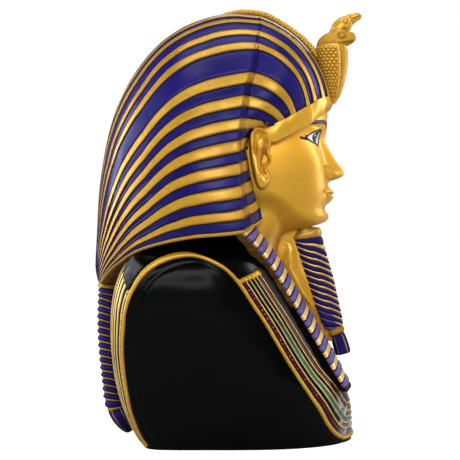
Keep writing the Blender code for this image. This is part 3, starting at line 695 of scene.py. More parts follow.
def ears(mats):
    us, zs = np.arange(9.6, 30.6, 0.3), np.arange(168.4, 213.6, 0.32)
    u, z = np.meshgrid(us, zs)
    ring = closed_curve(EAR, 90)
    d, _, _ = distances(u, z, ring, closed=True)
    d = np.where(inside_polygon(u, z, ring), d, -d)
    stand = 1.6 + 6.0 * smooth(27.5, 14, u) + 4.2 * smooth(186, 204, z)
    h = stand * smooth(-0.3, 1.2, d)
    # rolled outer edge, fading along the front below its root
    along = smooth(176, 183, z) * (1 - smooth(23.5, 26.5, u) * smooth(201, 196, z))
    h += 1.7 * np.exp(-((d - 1.7) / 1.15) ** 2) * along
    h -= 1.5 * np.exp(-((d - 4.2) / 1.25) ** 2) * along * smooth(27.5, 24, u)
    fold = np.array([(20.4, 177.5), (18.0, 183.5), (17.4, 190), (18.6, 196.5), (21.4, 201.5), (23.4, 204.0)])
    df, _, _ = distances(u, z, fold)
    h += 1.7 * np.exp(-(df / 1.5) ** 2)
    branch = np.array([(18.6, 196.5), (21.5, 198.0), (24.6, 198.6)])
    db, _, _ = distances(u, z, branch)
    h += 0.8 * np.exp(-(db / 1.2) ** 2)
    bowl = np.exp(-(((u - 22.6) / 2.9) ** 2 + ((z - 190.0) / 5.4) ** 2) ** 1.3)
    h -= 4.2 * bowl
    h += 1.9 * np.exp(-((u - 27.0) / 1.7) ** 2 - ((z - 190.2) / 2.7) ** 2)
    h += 1.2 * np.exp(-((u - 23.0) / 1.6) ** 2 - ((z - 182.3) / 1.6) ** 2)
    h += 1.5 * np.exp(-((u - 21.6) / 3.4) ** 2 - ((z - 175.4) / 3.4) ** 2)
    h = np.where(d < -0.3, -4.5, h)
    skull = line([(9, 40.4), (18, 40.6), (26, 40.0), (31, 39.2)], u) - 0.10 * np.clip(178 - z, 0, 12)
    w = skull + h
    w = np.where(d < 0.15, skull - 3.5 + (3.5 + 0.2) * smooth(-0.7, 0.15, d), w)
    grid = np.stack([u, w, z], axis=-1)
    back = grid.copy()
    back[..., 1] = 32.0
    n, m = u.shape
    top = grid.reshape(-1, 3)
    points = np.concatenate([top, back.reshape(-1, 3)])
    front_faces = grid_faces(n, m)
    back_faces = front_faces[:, ::-1] + n * m
    ids = np.arange(n * m).reshape(n, m)
    loop = np.concatenate([ids[0, :-1], ids[:-1, -1], ids[-1, :0:-1], ids[:0:-1, 0]])
    nxt = np.roll(loop, -1)
    sides = np.stack([loop, nxt, nxt + n * m, loop + n * m], axis=-1)[:, ::-1]
    # painted shade: the ear's bowl, the groove inside its rim, its front edge where it meets the head, and its back
    # faces are painted dark
    shade_and_highlight = 0.75 * bowl + 0.55 * np.exp(-((d - 4.3) / 1.0) ** 2) * along + 0.7 * smooth(1.0, 0.0, d) * smooth(26, 20, u)
    shade_and_highlight = np.clip(np.concatenate([shade_and_highlight.reshape(-1), np.ones(n * m)]), 0, 0.85)
    made = []
    for name, sign in (("ear_right", 1), ("ear_left", -1)):
        made.append(build(name, points * np.array([1, sign, 1]), np.concatenate([front_faces, back_faces, sides]), mats,
                          fields={"shade_and_highlight": shade_and_highlight}))
    return made


# ---------------------------------------------------------------- swept pieces
def frames(path, side):
    along = unit(np.gradient(path, axis=0))
    side = np.broadcast_to(np.asarray(side, float), path.shape)
    across = unit(np.cross(along, side))
    return along, across, unit(np.cross(across, along))


def tube(name, grid, mats, index=None, fields=None):
    """A closed body from rings (rows) that wrap, with a point at the middle of each end."""
    n, m = grid.shape[:2]
    points = np.concatenate([grid.reshape(-1, 3), [grid[0].mean(axis=0)], [grid[-1].mean(axis=0)]])
    j = np.arange(m)
    tris = np.concatenate([np.stack([(j + 1) % m, j, np.full(m, n * m)], axis=1),
                           np.stack([(n - 1) * m + j, (n - 1) * m + (j + 1) % m, np.full(m, n * m + 1)], axis=1)])
    if index is not None:
        index = np.concatenate([np.asarray(index).reshape(-1), np.full(m, np.asarray(index).reshape(-1)[0]),
                                np.full(m, np.asarray(index).reshape(-1)[-1])])
    packed = {k: np.append(np.asarray(v).reshape(-1), [0, 0]) for k, v in (fields or {}).items()}
    return build(name, points, grid_faces(n, m, wrap=True), mats, tris, index, packed)


BEARD = [(-9, 50.8, 146.8, 10.2), (0, 53.6, 138.0, 10.6), (12.5, 57.3, 126.0, 10.2), (22.3, 60.2, 116.7, 10.0),
         (32.8, 63.3, 106.8, 9.7), (43.1, 65.9, 97.0, 9.3), (54.4, 69.1, 86.2, 8.6), (63, 71.8, 78.1, 7.7),
         (70.3, 74.8, 71.2, 5.2), (78, 77.4, 63.8, 5.0), (86, 79.4, 56.0, 5.2)]


def beard_rings(along, count, square):
    """Rings of the beard: along has one row of places each, radius is worked out by the caller."""
    turn = np.linspace(0, 2 * math.pi, count, endpoint=False)
    c, s = np.cos(turn), np.sin(turn)
    cs, sn = np.sign(c) * np.abs(c) ** (2 / square), np.sign(s) * np.abs(s) ** (2 / square)
    row = spline(BEARD, along)
    step = spline(BEARD, along + 0.5) - spline(BEARD, along - 0.5)
    down = unit(np.stack([step[..., 0], 0 * along, step[..., 1]], axis=-1))
    ahead = np.stack([-down[..., 2], 0 * along, down[..., 0]], axis=-1)
    centre = np.stack([row[..., 0], 0 * along, row[..., 1]], axis=-1)
    return turn, cs, sn, centre, ahead, row[..., 2]


def beard(mats):
    """Rows follow the slanted gold bands: low in front, high behind."""
    GOLD, LINE, BLUE = 0, 1, 2
    bands, pitch = 13, 5.14
    places, heights, kinds = [-10.5, -9.6, -4.2, -3.4, -1.2, -0.5], [0.0, 0.3, 0.4, 1.0, 1.0, 0.1], [GOLD] * 6
    for k in range(bands):
        s = 0.0 + k * pitch
        places += [s, s + 0.2, s + 0.9, s + 1.7, s + 2.5, s + 2.85, s + 3.05, s + 3.3, s + 3.95, s + 4.65, s + 4.95]
        heights += [-0.25, 0.1, 0.38, 0.42, 0.12, -0.25, -0.25, 0.3, 0.55, 0.35, -0.25]
        kinds += [BLUE, BLUE, BLUE, BLUE, BLUE, LINE, LINE, GOLD, GOLD, GOLD, LINE]
    places, heights, kinds = map(np.array, (places, heights, kinds))
    count = 96
    turn = np.linspace(0, 2 * math.pi, count, endpoint=False)
    size = line([(a, r) for a, _, _, r in BEARD], places)
    slant = 0.78 * size * smooth(-4, 9, places) * smooth(72, 60, places)
    along = places[:, None] + slant[:, None] * (0.12 + np.cos(turn)[None, :])
    turn, cs, sn, centre, ahead, radius = beard_rings(along, count, 2.5)
    radius = radius - 0.35 + heights[:, None]
    grid = centre + (radius * cs)[..., None] * ahead + (0.9 * radius * sn)[..., None] * np.array([0, 1, 0])
    grid[..., 1] += 0.08 * waves(grid, 6, 11)
    kinds2 = np.repeat(kinds[:-1, None], count, axis=1)
    # a braided gold edge down the front
    edge = (turn < 0.2) | (turn > 2 * math.pi - 0.27)
    phase = places[:-1] % pitch
    kinds2 = np.where(edge[None, :] & (phase[:, None] > 1.8) & (places[:-1, None] > 0.1), GOLD, kinds2)
    kinds2 = np.where((places[:-1, None] > 53) & (np.cos(turn)[None, :] < 0.15) & (kinds2 == GOLD), BLUE, kinds2)
    # painted shade in the grooves between the bands, a painted highlight on the raised gold bands
    shade_and_highlight = np.where(heights < 0, 0.85, 0.3)[:, None] + 0 * along
    shade_and_highlight = np.where((kinds == GOLD)[:, None] & (heights > 0.2)[:, None], np.where(places > 0.1, -0.2, 0.16)[:, None], shade_and_highlight)
    return tube("beard", grid, mats, kinds2, {"shade_and_highlight": shade_and_highlight})


def beard_tip(mats):
    GOLD, LINE, BLUE = 0, 1, 2
    count = 96
    places = np.array([62, 66.2, 66.9, 67.4, 69.4, 70.1, 70.6, 71.3, 71.8, 73, 76, 79, 81.6, 82.0, 82.4, 84.3, 84.9])
    radii = np.array([3.6, 5.0, 5.8, 6.2, 6.2, 5.7, 5.0, 4.9, 5.0, 5.1, 5.2, 5.3, 5.4, 5.5, 5.6, 5.5, 4.8])
    kinds = np.array([GOLD, GOLD, GOLD, GOLD, GOLD, LINE, LINE, BLUE, BLUE, BLUE, BLUE, BLUE, LINE, BLUE, BLUE, BLUE, LINE])
    along = places[:, None] + np.zeros((1, count))
    turn, cs, sn, centre, ahead, _ = beard_rings(along, count, 2.6)
    ridge = (np.arange(count) % 16 < 2)
    lift = np.where(ridge, 0.3, 0.0)[None, :] * ((places > 71.5) & (places < 82.1))[:, None]
    radius = radii[:, None] + lift
    grid = centre + (radius * cs)[..., None] * ahead + (1.15 * radius * sn)[..., None] * np.array([0, 1, 0])
    k2 = np.repeat(kinds[:-1, None], count, axis=1)
    k2 = np.where((k2 == BLUE) & ridge[None, :], GOLD, k2)
    # the whole tip is painted darker through the same field
    return tube("beard_tip", grid, mats, k2, {"shade_and_highlight": 0.45 + 0 * radius})


def beard_web(mats):
    """The gold wedge of casting between throat, beard and lappets, with a raised diamond facet."""
    rows = []
    table = [(66, 63.0, 73.5, 3.0), (80, 54.5, 70.0, 4.0), (96, 44.0, 65.0, 4.8), (112, 35.0, 60.0, 5.4),
             (128, 27.0, 55.0, 6.0), (137, 24.0, 52.5, 6.6), (143, 22.5, 51.0, 7.2), (152, 21.0, 51.0, 8.0)]
    zs = np.linspace(152, 66, 170)
    t = spline(table, zs)
    turn = np.linspace(0, 2 * math.pi, 96, endpoint=False)
    c, s = np.cos(turn), np.sin(turn)
    for z, (back, front, half) in zip(zs, t):
        u = (back + front) / 2 + (front - back) / 2 * np.sign(c) * np.abs(c) ** 0.7
        rows.append(np.stack([u, half * np.sign(s) * np.abs(s) ** 0.5, 0 * u + z], axis=-1))
    grid = np.array(rows)
    # four-cornered raised facet, beside the beard
    corners = np.array([(41.2, 134.5), (36.4, 121.5), (39.4, 110.2), (48.5, 98.1), (58.9, 87.7), (56.4, 94.6),
                        (51.1, 107.6), (45.9, 116.3), (44.6, 129.3)])
    d, _, _ = distances(grid[..., 0], grid[..., 2], corners, closed=True)
    d = np.where(inside_polygon(grid[..., 0], grid[..., 2], corners), d, -d)
    spine, _, _ = distances(grid[..., 0], grid[..., 2], np.array([(42.4, 133.5), (42.0, 117.0), (50.0, 101.0), (58.5, 88.5)]))
    lift = 1.3 * smooth(-0.6, 1.4, d) + 0.9 * smooth(3.0, 0.0, spine) * smooth(0, 2, d)
    grid[..., 1] += (lift + 0.25 * waves(grid, 9, 21)) * np.sign(grid[..., 1])
    # painted shade round the facet's edge, on the back of the web and over its lower part; a painted highlight along
    # the facet's spine
    shade_and_highlight = 0.1 + 0.5 * np.exp(-((d + 0.9) / 0.9) ** 2) + 0.2 * smooth(-0.6, -0.95, c)[None, :]
    shade_and_highlight = shade_and_highlight - 0.25 * np.exp(-(spine / 0.9) ** 2) * (d > 0)
    shade_and_highlight = np.clip(shade_and_highlight + 1.1 * smooth(93, 85, grid[..., 2]), -1, 1)
    return tube("beard_web", grid, mats, None, {"shade_and_highlight": shade_and_highlight})


def pigtail(mats):
    GOLD, LINE, BLUE = 0, 1, 2
    spine = [(-9, -83.6, 113), (0, -84.6, 104), (45, -84.8, 60), (62, -83.0, 43), (88, -78.7, 18), (105, -69.5, 2.6)]
    places, radii, kinds = [-8.0, -1.6, -1.2, 0.6, 1.0], [6.8, 6.9, 7.8, 7.8, 6.9], [GOLD, GOLD, GOLD, GOLD, LINE]
    pitch = 5.06
    for k in range(17):
        s = 1.4 + k * pitch
        places += [s, s + 0.25, s + 0.9, s + 1.8, s + 2.7, s + 3.3, s + 3.55, s + 3.8, s + 4.35, s + 4.8]
        radii += [5.8, 6.4, 7.0, 7.2, 7.0, 6.4, 5.8, 6.4, 6.7, 6.3]
        kinds += [BLUE, BLUE, BLUE, BLUE, BLUE, LINE, LINE, GOLD, GOLD, LINE]
    places += [87.6, 88.2, 90, 94, 98, 101.5, 104, 105]
    radii += [6.3, 6.5, 6.6, 6.4, 5.7, 4.6, 3.2, 1.6]
    kinds += [BLUE] * 8
    places, radii, kinds = map(np.array, (places, radii, kinds))
    count = 48
    turn = np.linspace(0, 2 * math.pi, count, endpoint=False)
    slant = 2.4 * smooth(2, 10, places) * smooth(90, 82, places)
    along = places[:, None] + slant[:, None] * np.cos(turn + 0.6)[None, :]
    lobe = (1 + 0.03 * np.cos(2 * turn))[None, :]
    uz = spline(spine, along)
    centre = np.stack([uz[..., 0], 0 * along, uz[..., 1]], axis=-1)
    step = spline(spine, along + 0.5) - spline(spine, along - 0.5)
    tangent = unit(np.stack([step[..., 0], 0 * along, step[..., 1]], axis=-1))
    across = np.stack([-tangent[..., 2], 0 * along, tangent[..., 0]], axis=-1)
    radius = radii[:, None] * lobe
    grid = (centre + (radius * np.cos(turn))[..., None] * across
            + (radius * np.sin(turn))[..., None] * np.array([0, 1, 0]))
    k2 = np.repeat(kinds[:-1, None], count, axis=1)
    k2 = np.where((places[:-1, None] > 87) & (np.arange(count)[None, :] % 8 == 0), GOLD, k2)
    # painted shade in the grooves between the coils, lighter on the crests
    shade_and_highlight = np.where(radii < 6.3, 0.85, np.where(radii < 6.6, 0.5, 0.22))[:, None] + 0 * along
    return tube("pigtail", grid, mats, k2, {"shade_and_highlight": shade_and_highlight})


def lappets(mats):
    """Striped cloth ends down the chest; rows follow the slanted tiles."""
    GOLD, LINE, BLUE = 0, 1, 2
    start, pitch, tiles = -0.0553, 0.0767, 14
    places, heights, kinds = [-0.05], [0.0], [GOLD]
    for k in range(tiles):
        s = start + k * pitch
        g = pitch
        places += [s, s + 0.05 * g, s + 0.08 * g, s + 0.3 * g, s + 0.46 * g, s + 0.50 * g, s + 0.57 * g, s + 0.7 * g,
                   s + 0.85 * g, s + 0.97 * g]
        heights += [0.0, 0.0, 0.95, 1.15, 0.95, 0.0, 0.45, 0.6, 0.55, 0.45]
        kinds += [LINE, BLUE, BLUE, BLUE, LINE, LINE] + ([GOLD] * 3 if k < tiles - 1 else [LINE] * 3) + [LINE]
    places += [start + tiles * pitch + 0.005]
    heights += [0.3]
    kinds += [LINE]
    places, heights, kinds = map(np.array, (places, heights, kinds))
    order = places > -0.03
    places, heights, kinds = places[order], heights[order], kinds[order]
    across = np.concatenate([[0, 0.02, 0.06], np.linspace(0.12, 0.88, 22), [0.94, 0.98, 1.0]])
    clipped = np.clip(places, 0, 1)
    over = np.clip(places - 1, 0, 1)[:, None] * 45
    tilt = 0.011 * smooth(0, 0.08, clipped) * smooth(1.0, 0.94, clipped)
    t = np.concatenate([spline(LAPPET, clipped + tilt)[:, :3], spline(LAPPET, clipped - tilt)[:, 3:]], axis=1)
    fall = unit(np.array([13.0, -1.0, -21.0]))
    outer, inner = t[:, :3] + over * fall, t[:, 3:] + over * fall
    outer, inner = outer + 0.12 * (inner - outer), inner - 0.06 * (inner - outer)
    rise = unit(np.cross(inner - outer, np.gradient((outer + inner) / 2, axis=0)))
    rise *= np.sign(rise[:, :1])
    a = across[None, :, None]
    sheet = outer[:, None] * (1 - a) + inner[:, None] * a
    crown = (0.6 + 0.8 * 4 * across * (1 - across))[None, :] * 0.8
    round_off = np.minimum(1, np.minimum(across, 1 - across) / 0.05)[None, :]
    grid = sheet + rise[:, None] * (crown + heights[:, None] * round_off + 0.1 * waves(sheet, 6, 8))[..., None]
    # blue tiles stand a little past the gold at both edges
    step = unit(inner - outer)[:, None] * (0.55 * (heights > 0.9))[:, None, None]
    grid[:, :2] -= step
    grid[:, -2:] += step
    wall = np.interp(clipped, [0, 0.15, 0.42, 0.6, 1.0], [5.0, 7.0, 5.0, 2.4, 1.4])[:, None]
    ragged = 0.8 * waves(outer * 1.0, 5, 61)[:, None]
    back = np.array([-1.0, -0.15, 0.05])
    edge_o, edge_i = grid[:, :1] - rise[:, None] * 1.5, grid[:, -1:] - rise[:, None] * 1.5
    under_o = edge_o + np.array([0, -0.5, 0])
    deep_o = edge_o + (back * (wall + ragged))[:, None] + np.array([0, -1.0, 0])
    under_i, deep_i = edge_i + np.array([0, 0.4, 0]), edge_i - rise[:, None] * 7
    deep_i = np.concatenate([deep_i, deep_o + np.array([0, -10.0, 0])], axis=1)
    ring = np.concatenate([deep_o, under_o, edge_o, grid, edge_i, under_i, deep_i], axis=1)
    count = ring.shape[1]
    index = np.repeat(kinds[:-1, None], count, axis=1)
    index[:, :2] = GOLD
    index[:, 1] = LINE
    index[(places > 0.46)[:-1], :2] = LINE
    index[:, -4:] = GOLD
    # painted highlight on the tiles; painted shade in the dips between them, on the side wall behind the tiles and on
    # the inner back faces
    shade_and_highlight = np.where(heights < 0.1, 0.8, np.where(heights > 0.9, -0.3, -0.45))[:, None] + np.zeros((1, count))
    shade_and_highlight[:, :2] = 0.78
    shade_and_highlight[:, -4:] = 0.5
    made = []
    for name, sign in (("lappet_right", 1), ("lappet_left", -1)):
        made.append(tube(name, ring * np.array([1, sign, 1]), mats, index, {"shade_and_highlight": shade_and_highlight}))
    return made


# ---------------------------------------------------------------- brow emblems and crown ridge
def scales(turn_mm, along_mm, size):
    """Overlapping rounded scales: 0 in the grooves to 1 on the crests."""
    row = np.floor(along_mm / (size * 0.8))
    x = (turn_mm / size + 0.5 * (row % 2)) % 1 - 0.5
    y = (along_mm / (size * 0.8)) % 1
    r = np.sqrt((x * 1.9) ** 2 + ((y - 0.45) * 1.7) ** 2)
    return np.clip(1 - r**2.4, 0, 1)


def ridge(mats):
    crest = [(-8, 293.0), (0, 294.4), (13.3, 295.0), (25.7, 292.4), (35.9, 286.6), (46, 279.5), (56, 270.0), (63, 260),
             (67, 252)]
    p = np.asarray(crest, float)
    share = np.concatenate([[0], np.cumsum(np.hypot(*np.diff(p, axis=0).T))])
    s = np.arange(0, share[-1], 0.34)
    uz = spline(np.column_stack([share, p]), s)
    path = np.stack([uz[:, 0], 0 * s, uz[:, 1]], axis=1)
    _, across, side = frames(path, (0, 1, 0))
    count = 104
    turn = np.linspace(0, 2 * math.pi, count, endpoint=False)
    tall = np.interp(s, [0, 6, 16, 60, s[-1]], [0.5, 1.6, 2.5, 3.1, 3.2])[:, None]
    half = np.interp(s, [0, 10, 50, s[-1]], [1.5, 5.2, 6.8, 8.0])[:, None]
    mid = np.exp(-(np.sin(turn) / 0.16) ** 2)[None, :] * (np.cos(turn) != 0)
    bumps = scales(turn[None, :] * half, s[:, None], 2.7)
    rise = 0.5 * bumps - 0.9 * mid * smooth(8, 20, s)[:, None]
    grid = (path[:, None] + ((tall - 0.35 + rise) * np.cos(turn))[..., None] * across[:, None]
            + ((half + rise) * np.sin(turn))[..., None] * side[:, None])
    # painted shade between the scales, a slight painted highlight on their crests
    shade_and_highlight = np.clip(0.5 - 0.75 * bumps, -0.15, 0.6) * np.ones_like(grid[..., 0])
    return tube("crown_ridge", grid, mats, None, {"shade_and_highlight": shade_and_highlight})


def cobra(mats):
    made = []
    # swollen neck, seen as a scaly leaf with a beaded front edge
    table = [(0, 72.2, 232.6, 1.6, 3.0), (0.05, 72.0, 235.4, 3.6, 4.6), (0.2, 72.3, 242.5, 6.2, 5.8),
             (0.45, 72.0, 253, 9.0, 6.6), (0.7, 71.1, 264, 10.9, 6.9), (0.85, 70.6, 270, 10.7, 6.4),
             (0.95, 70.4, 274, 9.2, 5.6), (1, 70.8, 276.0, 7.4, 4.8)]
    t = np.linspace(0, 1, 150)
    r = spline(table, t)
    count = 168
    turn = np.linspace(0, 2 * math.pi, count, endpoint=False)
    c, s = np.cos(turn)[None, :], np.sin(turn)[None, :]
    a, b = r[:, 2:3], r[:, 3:4]
    z = r[:, 1:2]
    along = (t * 44)[:, None]
    groove = np.exp(-((turn[None, :] - 1.02) / 0.055) ** 2) + np.exp(-((turn[None, :] - 5.26) / 0.055) ** 2)
    bead = np.exp(-((turn[None, :] - 1.16) / 0.075) ** 2) + np.exp(-((turn[None, :] - 5.12) / 0.075) ** 2)
    edge = np.exp(-((turn[None, :] - 0.30) / 0.09) ** 2) + np.exp(-((turn[None, :] - 5.98) / 0.09) ** 2)
    back = smooth(1.24, 1.32, turn)[None, :] * smooth(5.04, 4.96, turn)[None, :]
    bumps = scales(turn[None, :] * 9.0, along, 2.8)
    beads = 0.5 + 0.5 * np.cos(along * 2 * math.pi / 1.5)
    fade = smooth(0.0, 0.05, t)[:, None] * smooth(0.9, 0.8, t)[:, None]
    rise = fade * (0.75 * bumps * back - 0.55 * groove + bead * (0.35 + 0.4 * beads) + edge * (0.15 + 0.35 * beads))
    grid = np.stack([r[:, 0:1] + (a + rise) * c, 6.0 + (b + rise) * s, z + 0 * c], axis=-1)
    # painted shade in the grooves, between the scales and a little all over; a painted highlight on the beads and the
    # front edge
    shade_and_highlight = back * (0.6 - 0.95 * bumps) + groove * 0.8 - 0.75 * bead * beads - 0.3 * edge * beads + 0.2
    made.append(tube("cobra_neck", grid, mats, None, {"shade_and_highlight": np.clip(shade_and_highlight, -0.8, 0.85) * fade + 0.05}))
    # head, from the back of the skull to the snout
    table = [(0, 59.9, 270.5, 0.6, 0.8, 0.6), (0.05, 60.9, 271.8, 2.6, 2.8, 2.6), (0.16, 64.2, 273.7, 4.5, 5.0, 4.9),
             (0.32, 68.2, 275.0, 5.4, 6.2, 5.9), (0.48, 72.6, 275.3, 5.9, 6.9, 6.3), (0.64, 77.2, 275.6, 6.2, 6.6, 5.9),
             (0.78, 81.2, 275.9, 5.5, 4.9, 4.8), (0.9, 84.7, 276.4, 4.0, 3.4, 3.4), (0.97, 86.7, 276.9, 2.2, 2.0, 1.9),
             (1, 87.4, 277.0, 0.6, 0.7, 0.6)]
    t = np.linspace(0, 1, 120)
    r = spline(table, t)
    count = 96
    turn = np.linspace(0, 2 * math.pi, count, endpoint=False)
    c, s = np.cos(turn)[None, :], np.sin(turn)[None, :]
    up, down, wide = r[:, 2:3], r[:, 3:4], r[:, 4:5]
    u = r[:, 0:1] + 0 * c
    z = r[:, 1:2] + np.where(c > 0, up, down) * c
    w = wide * s
    side = np.abs(s)
    slit = 269.9 + 0.30 * (u - 71.2) - 0.006 * (u - 76) ** 2 + 0.25
    mouth = np.exp(-((z - slit) / 0.85) ** 2) * smooth(70.2, 71.6, u) * side
    lip = np.exp(-((z - slit - 1.6) / 1.0) ** 2) * smooth(70.5, 73, u) * side
    eye = np.exp(-(((u - 77.3) / 1.7) ** 2 + ((z - 277.7) / 1.25) ** 2)) * (side > 0.3)
    ring = np.exp(-((np.hypot((u - 77.3) / 1.2, z - 277.7) - 2.2) / 0.6) ** 2) * (side > 0.3)
    brow = np.exp(-((z - 280.2 + 0.05 * (u - 77)) / 0.8) ** 2) * smooth(71, 74, u) * smooth(84, 81, u) * side
    cheek = np.exp(-(((u - 68.5) / 4.5) ** 2 + ((z - 272.5) / 3.2) ** 2)) * side
    rise = 0.9 * eye + 0.5 * brow - 0.5 * ring - 1.0 * mouth + 0.35 * lip + 0.8 * cheek
    w = w + rise * np.sign(s)
    z = z + 0.5 * np.exp(-((u - 84.6) / 1.6) ** 2) * (c > 0.3) - 0.25 * np.exp(-((u - 81.5) / 1.2) ** 2) * (c > 0.3)
    grid = np.stack([u, 6.0 + w, z], axis=-1)
    # painted shade in the mouth slit, round the eye and a little all over; lighter on the brow
    shade_and_highlight = np.clip(0.36 + 1.2 * mouth + 0.55 * ring - 0.25 * brow, -0.3, 0.95)
    made.append(tube("cobra_head", grid, mats, None, {"shade_and_highlight": shade_and_highlight}))
    return made


def vulture(mats):
    made = []
    table = [(0, 71, 233, 4.0, 4.4), (0.25, 70.6, 246, 5.8, 5.4), (0.5, 70.4, 260, 6.6, 5.4), (0.72, 71.8, 271, 6.6, 5.0),
             (0.88, 75.2, 280.0, 6.4, 4.8), (1, 78.0, 285.0, 5.8, 4.4)]
    t = np.linspace(0, 1, 130)
    r = spline(table, t)
    count = 88
    turn = np.linspace(0, 2 * math.pi, count, endpoint=False)
    c, s = np.cos(turn)[None, :], np.sin(turn)[None, :]
    along = (t * 54)[:, None]
    bumps = scales(turn[None, :] * 6.5, along, 2.4)
    fade = smooth(0.0, 0.05, t)[:, None] * smooth(0.85, 0.7, t)[:, None]
    grid = np.stack([r[:, 0:1] + (r[:, 2:3] + 0.5 * bumps * fade) * c, -6.0 + (r[:, 3:4] + 0.5 * bumps * fade) * s,
                     r[:, 1:2] - 0.3 * c * (r[:, 2:3]) * smooth(0.6, 1.0, t)[:, None]], axis=-1)
    # painted shade between the scales, lighter on their crests
    made.append(tube("vulture_neck", grid, mats, None, {"shade_and_highlight": np.clip(0.6 - 0.8 * bumps, -0.2, 1) * fade + 0.06}))
    # skull and hooked beak, as upright slices: place, top, bottom, half width
    table = [(70.9, 285.6, 283.0, 1.4), (72.2, 288.4, 280.4, 3.2), (74.5, 291.2, 279.3, 4.3), (77.2, 293.3, 279.2, 4.8),
             (80.7, 294.5, 280.2, 4.8), (84.0, 295.7, 283.4, 4.2), (86.0, 296.3, 287.2, 3.4), (88.4, 296.7, 289.8, 2.8),
             (90.6, 296.5, 291.4, 2.2), (92.2, 295.6, 292.6, 1.4), (92.9, 294.7, 293.6, 0.5)]
    us = np.linspace(70.9, 92.9, 110)
    r = spline(table, us)
    turn = np.linspace(0, 2 * math.pi, 88, endpoint=False)
    c, s = np.cos(turn)[None, :], np.sin(turn)[None, :]
    u = us[:, None] + 0 * c
    z = (r[:, 0:1] + r[:, 1:2]) / 2 + (r[:, 0:1] - r[:, 1:2]) / 2 * c
    w = r[:, 2:3] * s
    side = np.abs(s)
    slit = np.exp(-((z - (292.0 + 0.40 * (u - 86.2))) / 0.42) ** 2) * smooth(85.4, 86.4, u) * side
    eye = np.exp(-(((u - 81.2) / 1.25) ** 2 + ((z - 289.6) / 1.1) ** 2)) * (side > 0.3)
    ring = np.exp(-((np.hypot(u - 81.2, z - 289.6) - 2.0) / 0.5) ** 2) * (side > 0.3)
    hollow = np.exp(-(((u - 80.6) / 1.4) ** 2 + ((z - 284.6) / 1.6) ** 2)) * (side > 0.3)
    cere = np.exp(-((u - 85.0 + 0.35 * (z - 292)) / 0.5) ** 2)
    w = w + (0.7 * eye - 0.35 * ring - 0.8 * slit - 0.35 * cere - 0.8 * hollow) * np.sign(s)
    grid = np.stack([u, -6.0 + w, z], axis=-1)
    # painted shade in the beak's slit, at the cere, in the hollow under the eye and round the eye
    made.append(tube("vulture_head", grid, mats, None,
                     {"shade_and_highlight": np.clip(0.04 + 0.8 * slit + 0.35 * cere + 0.5 * hollow + 0.35 * ring, 0, 0.8)}))
    return made


# ---------------------------------------------------------------- shoulders and collar
def torso_ring(z, turn):
    """Points of the torso at heights z, at polar angles turn about its middle: 0 in front, pi behind."""
    front, back, half, middle, power = (v[..., None] for v in np.moveaxis(spline(TORSO, z), -1, 0))
    c, s = np.cos(turn), np.sin(turn)
    p = np.where(c > 0, power, BACK_POWER)
    reach = np.where(c > 0, front - middle, middle - back)
    radius = (np.abs(c / reach) ** p + np.abs(s / half) ** p) ** (-1 / p)
    return np.stack([middle + radius * c, radius * s, np.broadcast_to(np.asarray(z, float)[..., None], radius.shape)],
                    axis=-1)


RULER_Z = np.linspace(0, 146, 147)
RULER_TURN = np.linspace(0, math.pi, 721)
RULER = torso_ring(RULER_Z, RULER_TURN[None, :])
RULER_X = np.concatenate([np.zeros((147, 1)), np.cumsum(np.linalg.norm(np.diff(RULER, axis=1), axis=-1), axis=1)], axis=1)


def unroll(turn, z):
    """Distance round the torso from the middle of the chest, for turns 0 to pi."""
    z = np.clip(z, 0, 146)
    i = np.minimum(z.astype(int), 145)
    f = z - i
    k = np.clip(turn / math.pi * 720, 0, 719.999)
    j = k.astype(int)
    g = k - j
    def at(row):
        return RULER_X[row, j] * (1 - g) + RULER_X[row, j + 1] * g
    return at(i) * (1 - f) + at(i + 1) * f


def arch_line(count=150):
    """The gold arch as (round the torso, height), from the back of the base over the shoulder to the chest's middle."""
    p = np.asarray(ARCH, float)
    share = np.concatenate([[0], np.cumsum(np.hypot(*np.diff(p, axis=0).T))])
    uz = spline(np.column_stack([share, p]), np.linspace(0, share[-1], count))
    u, z = uz[:, 0], uz[:, 1]
    front, back, half, middle, power = spline(TORSO, z).T
    ahead = u > middle
    reach = np.where(ahead, front - middle, middle - back)
    pw = np.where(ahead, power, BACK_POWER)
    w = half * np.clip(1 - (np.abs(u - middle) / reach) ** pw, 0, 1) ** (1 / pw)
    turn = np.arctan2(w, u - middle)
    xy = np.stack([unroll(turn, z), z], axis=1)
    tail = np.stack([np.linspace(xy[-1, 0], 0, 22)[1:], 3.6 + 0 * np.linspace(0, 1, 21)], axis=1)
    return np.concatenate([xy, tail, [[-40.0, 3.6]]])


# collar bands outward from the arch, in millimetres: start, colour, gold?
BANDS = [(0.0, "gold"), (1.6, "maroon"), (5.8, "gold"), (6.75, "black"), (9.5, "gold"), (10.4, "teal"), (13.6, "gold"),
         (14.5, "black"), (17.4, "gold"), (18.3, "maroon"), (22.4, "gold"), (23.4, "black")]


BACK_PITCH, BACK_ROWS = 2.7, 20.0


def collar_marks(path):
    """Along the arch, in millimetres: its top, where the front collar starts, and where the back collar ends."""
    lengths = np.concatenate([[0], np.cumsum(np.hypot(*np.diff(path, axis=0).T))])
    top = float(lengths[np.argmax(path[:, 1])])
    return top, top + 30.5, top - 57.0


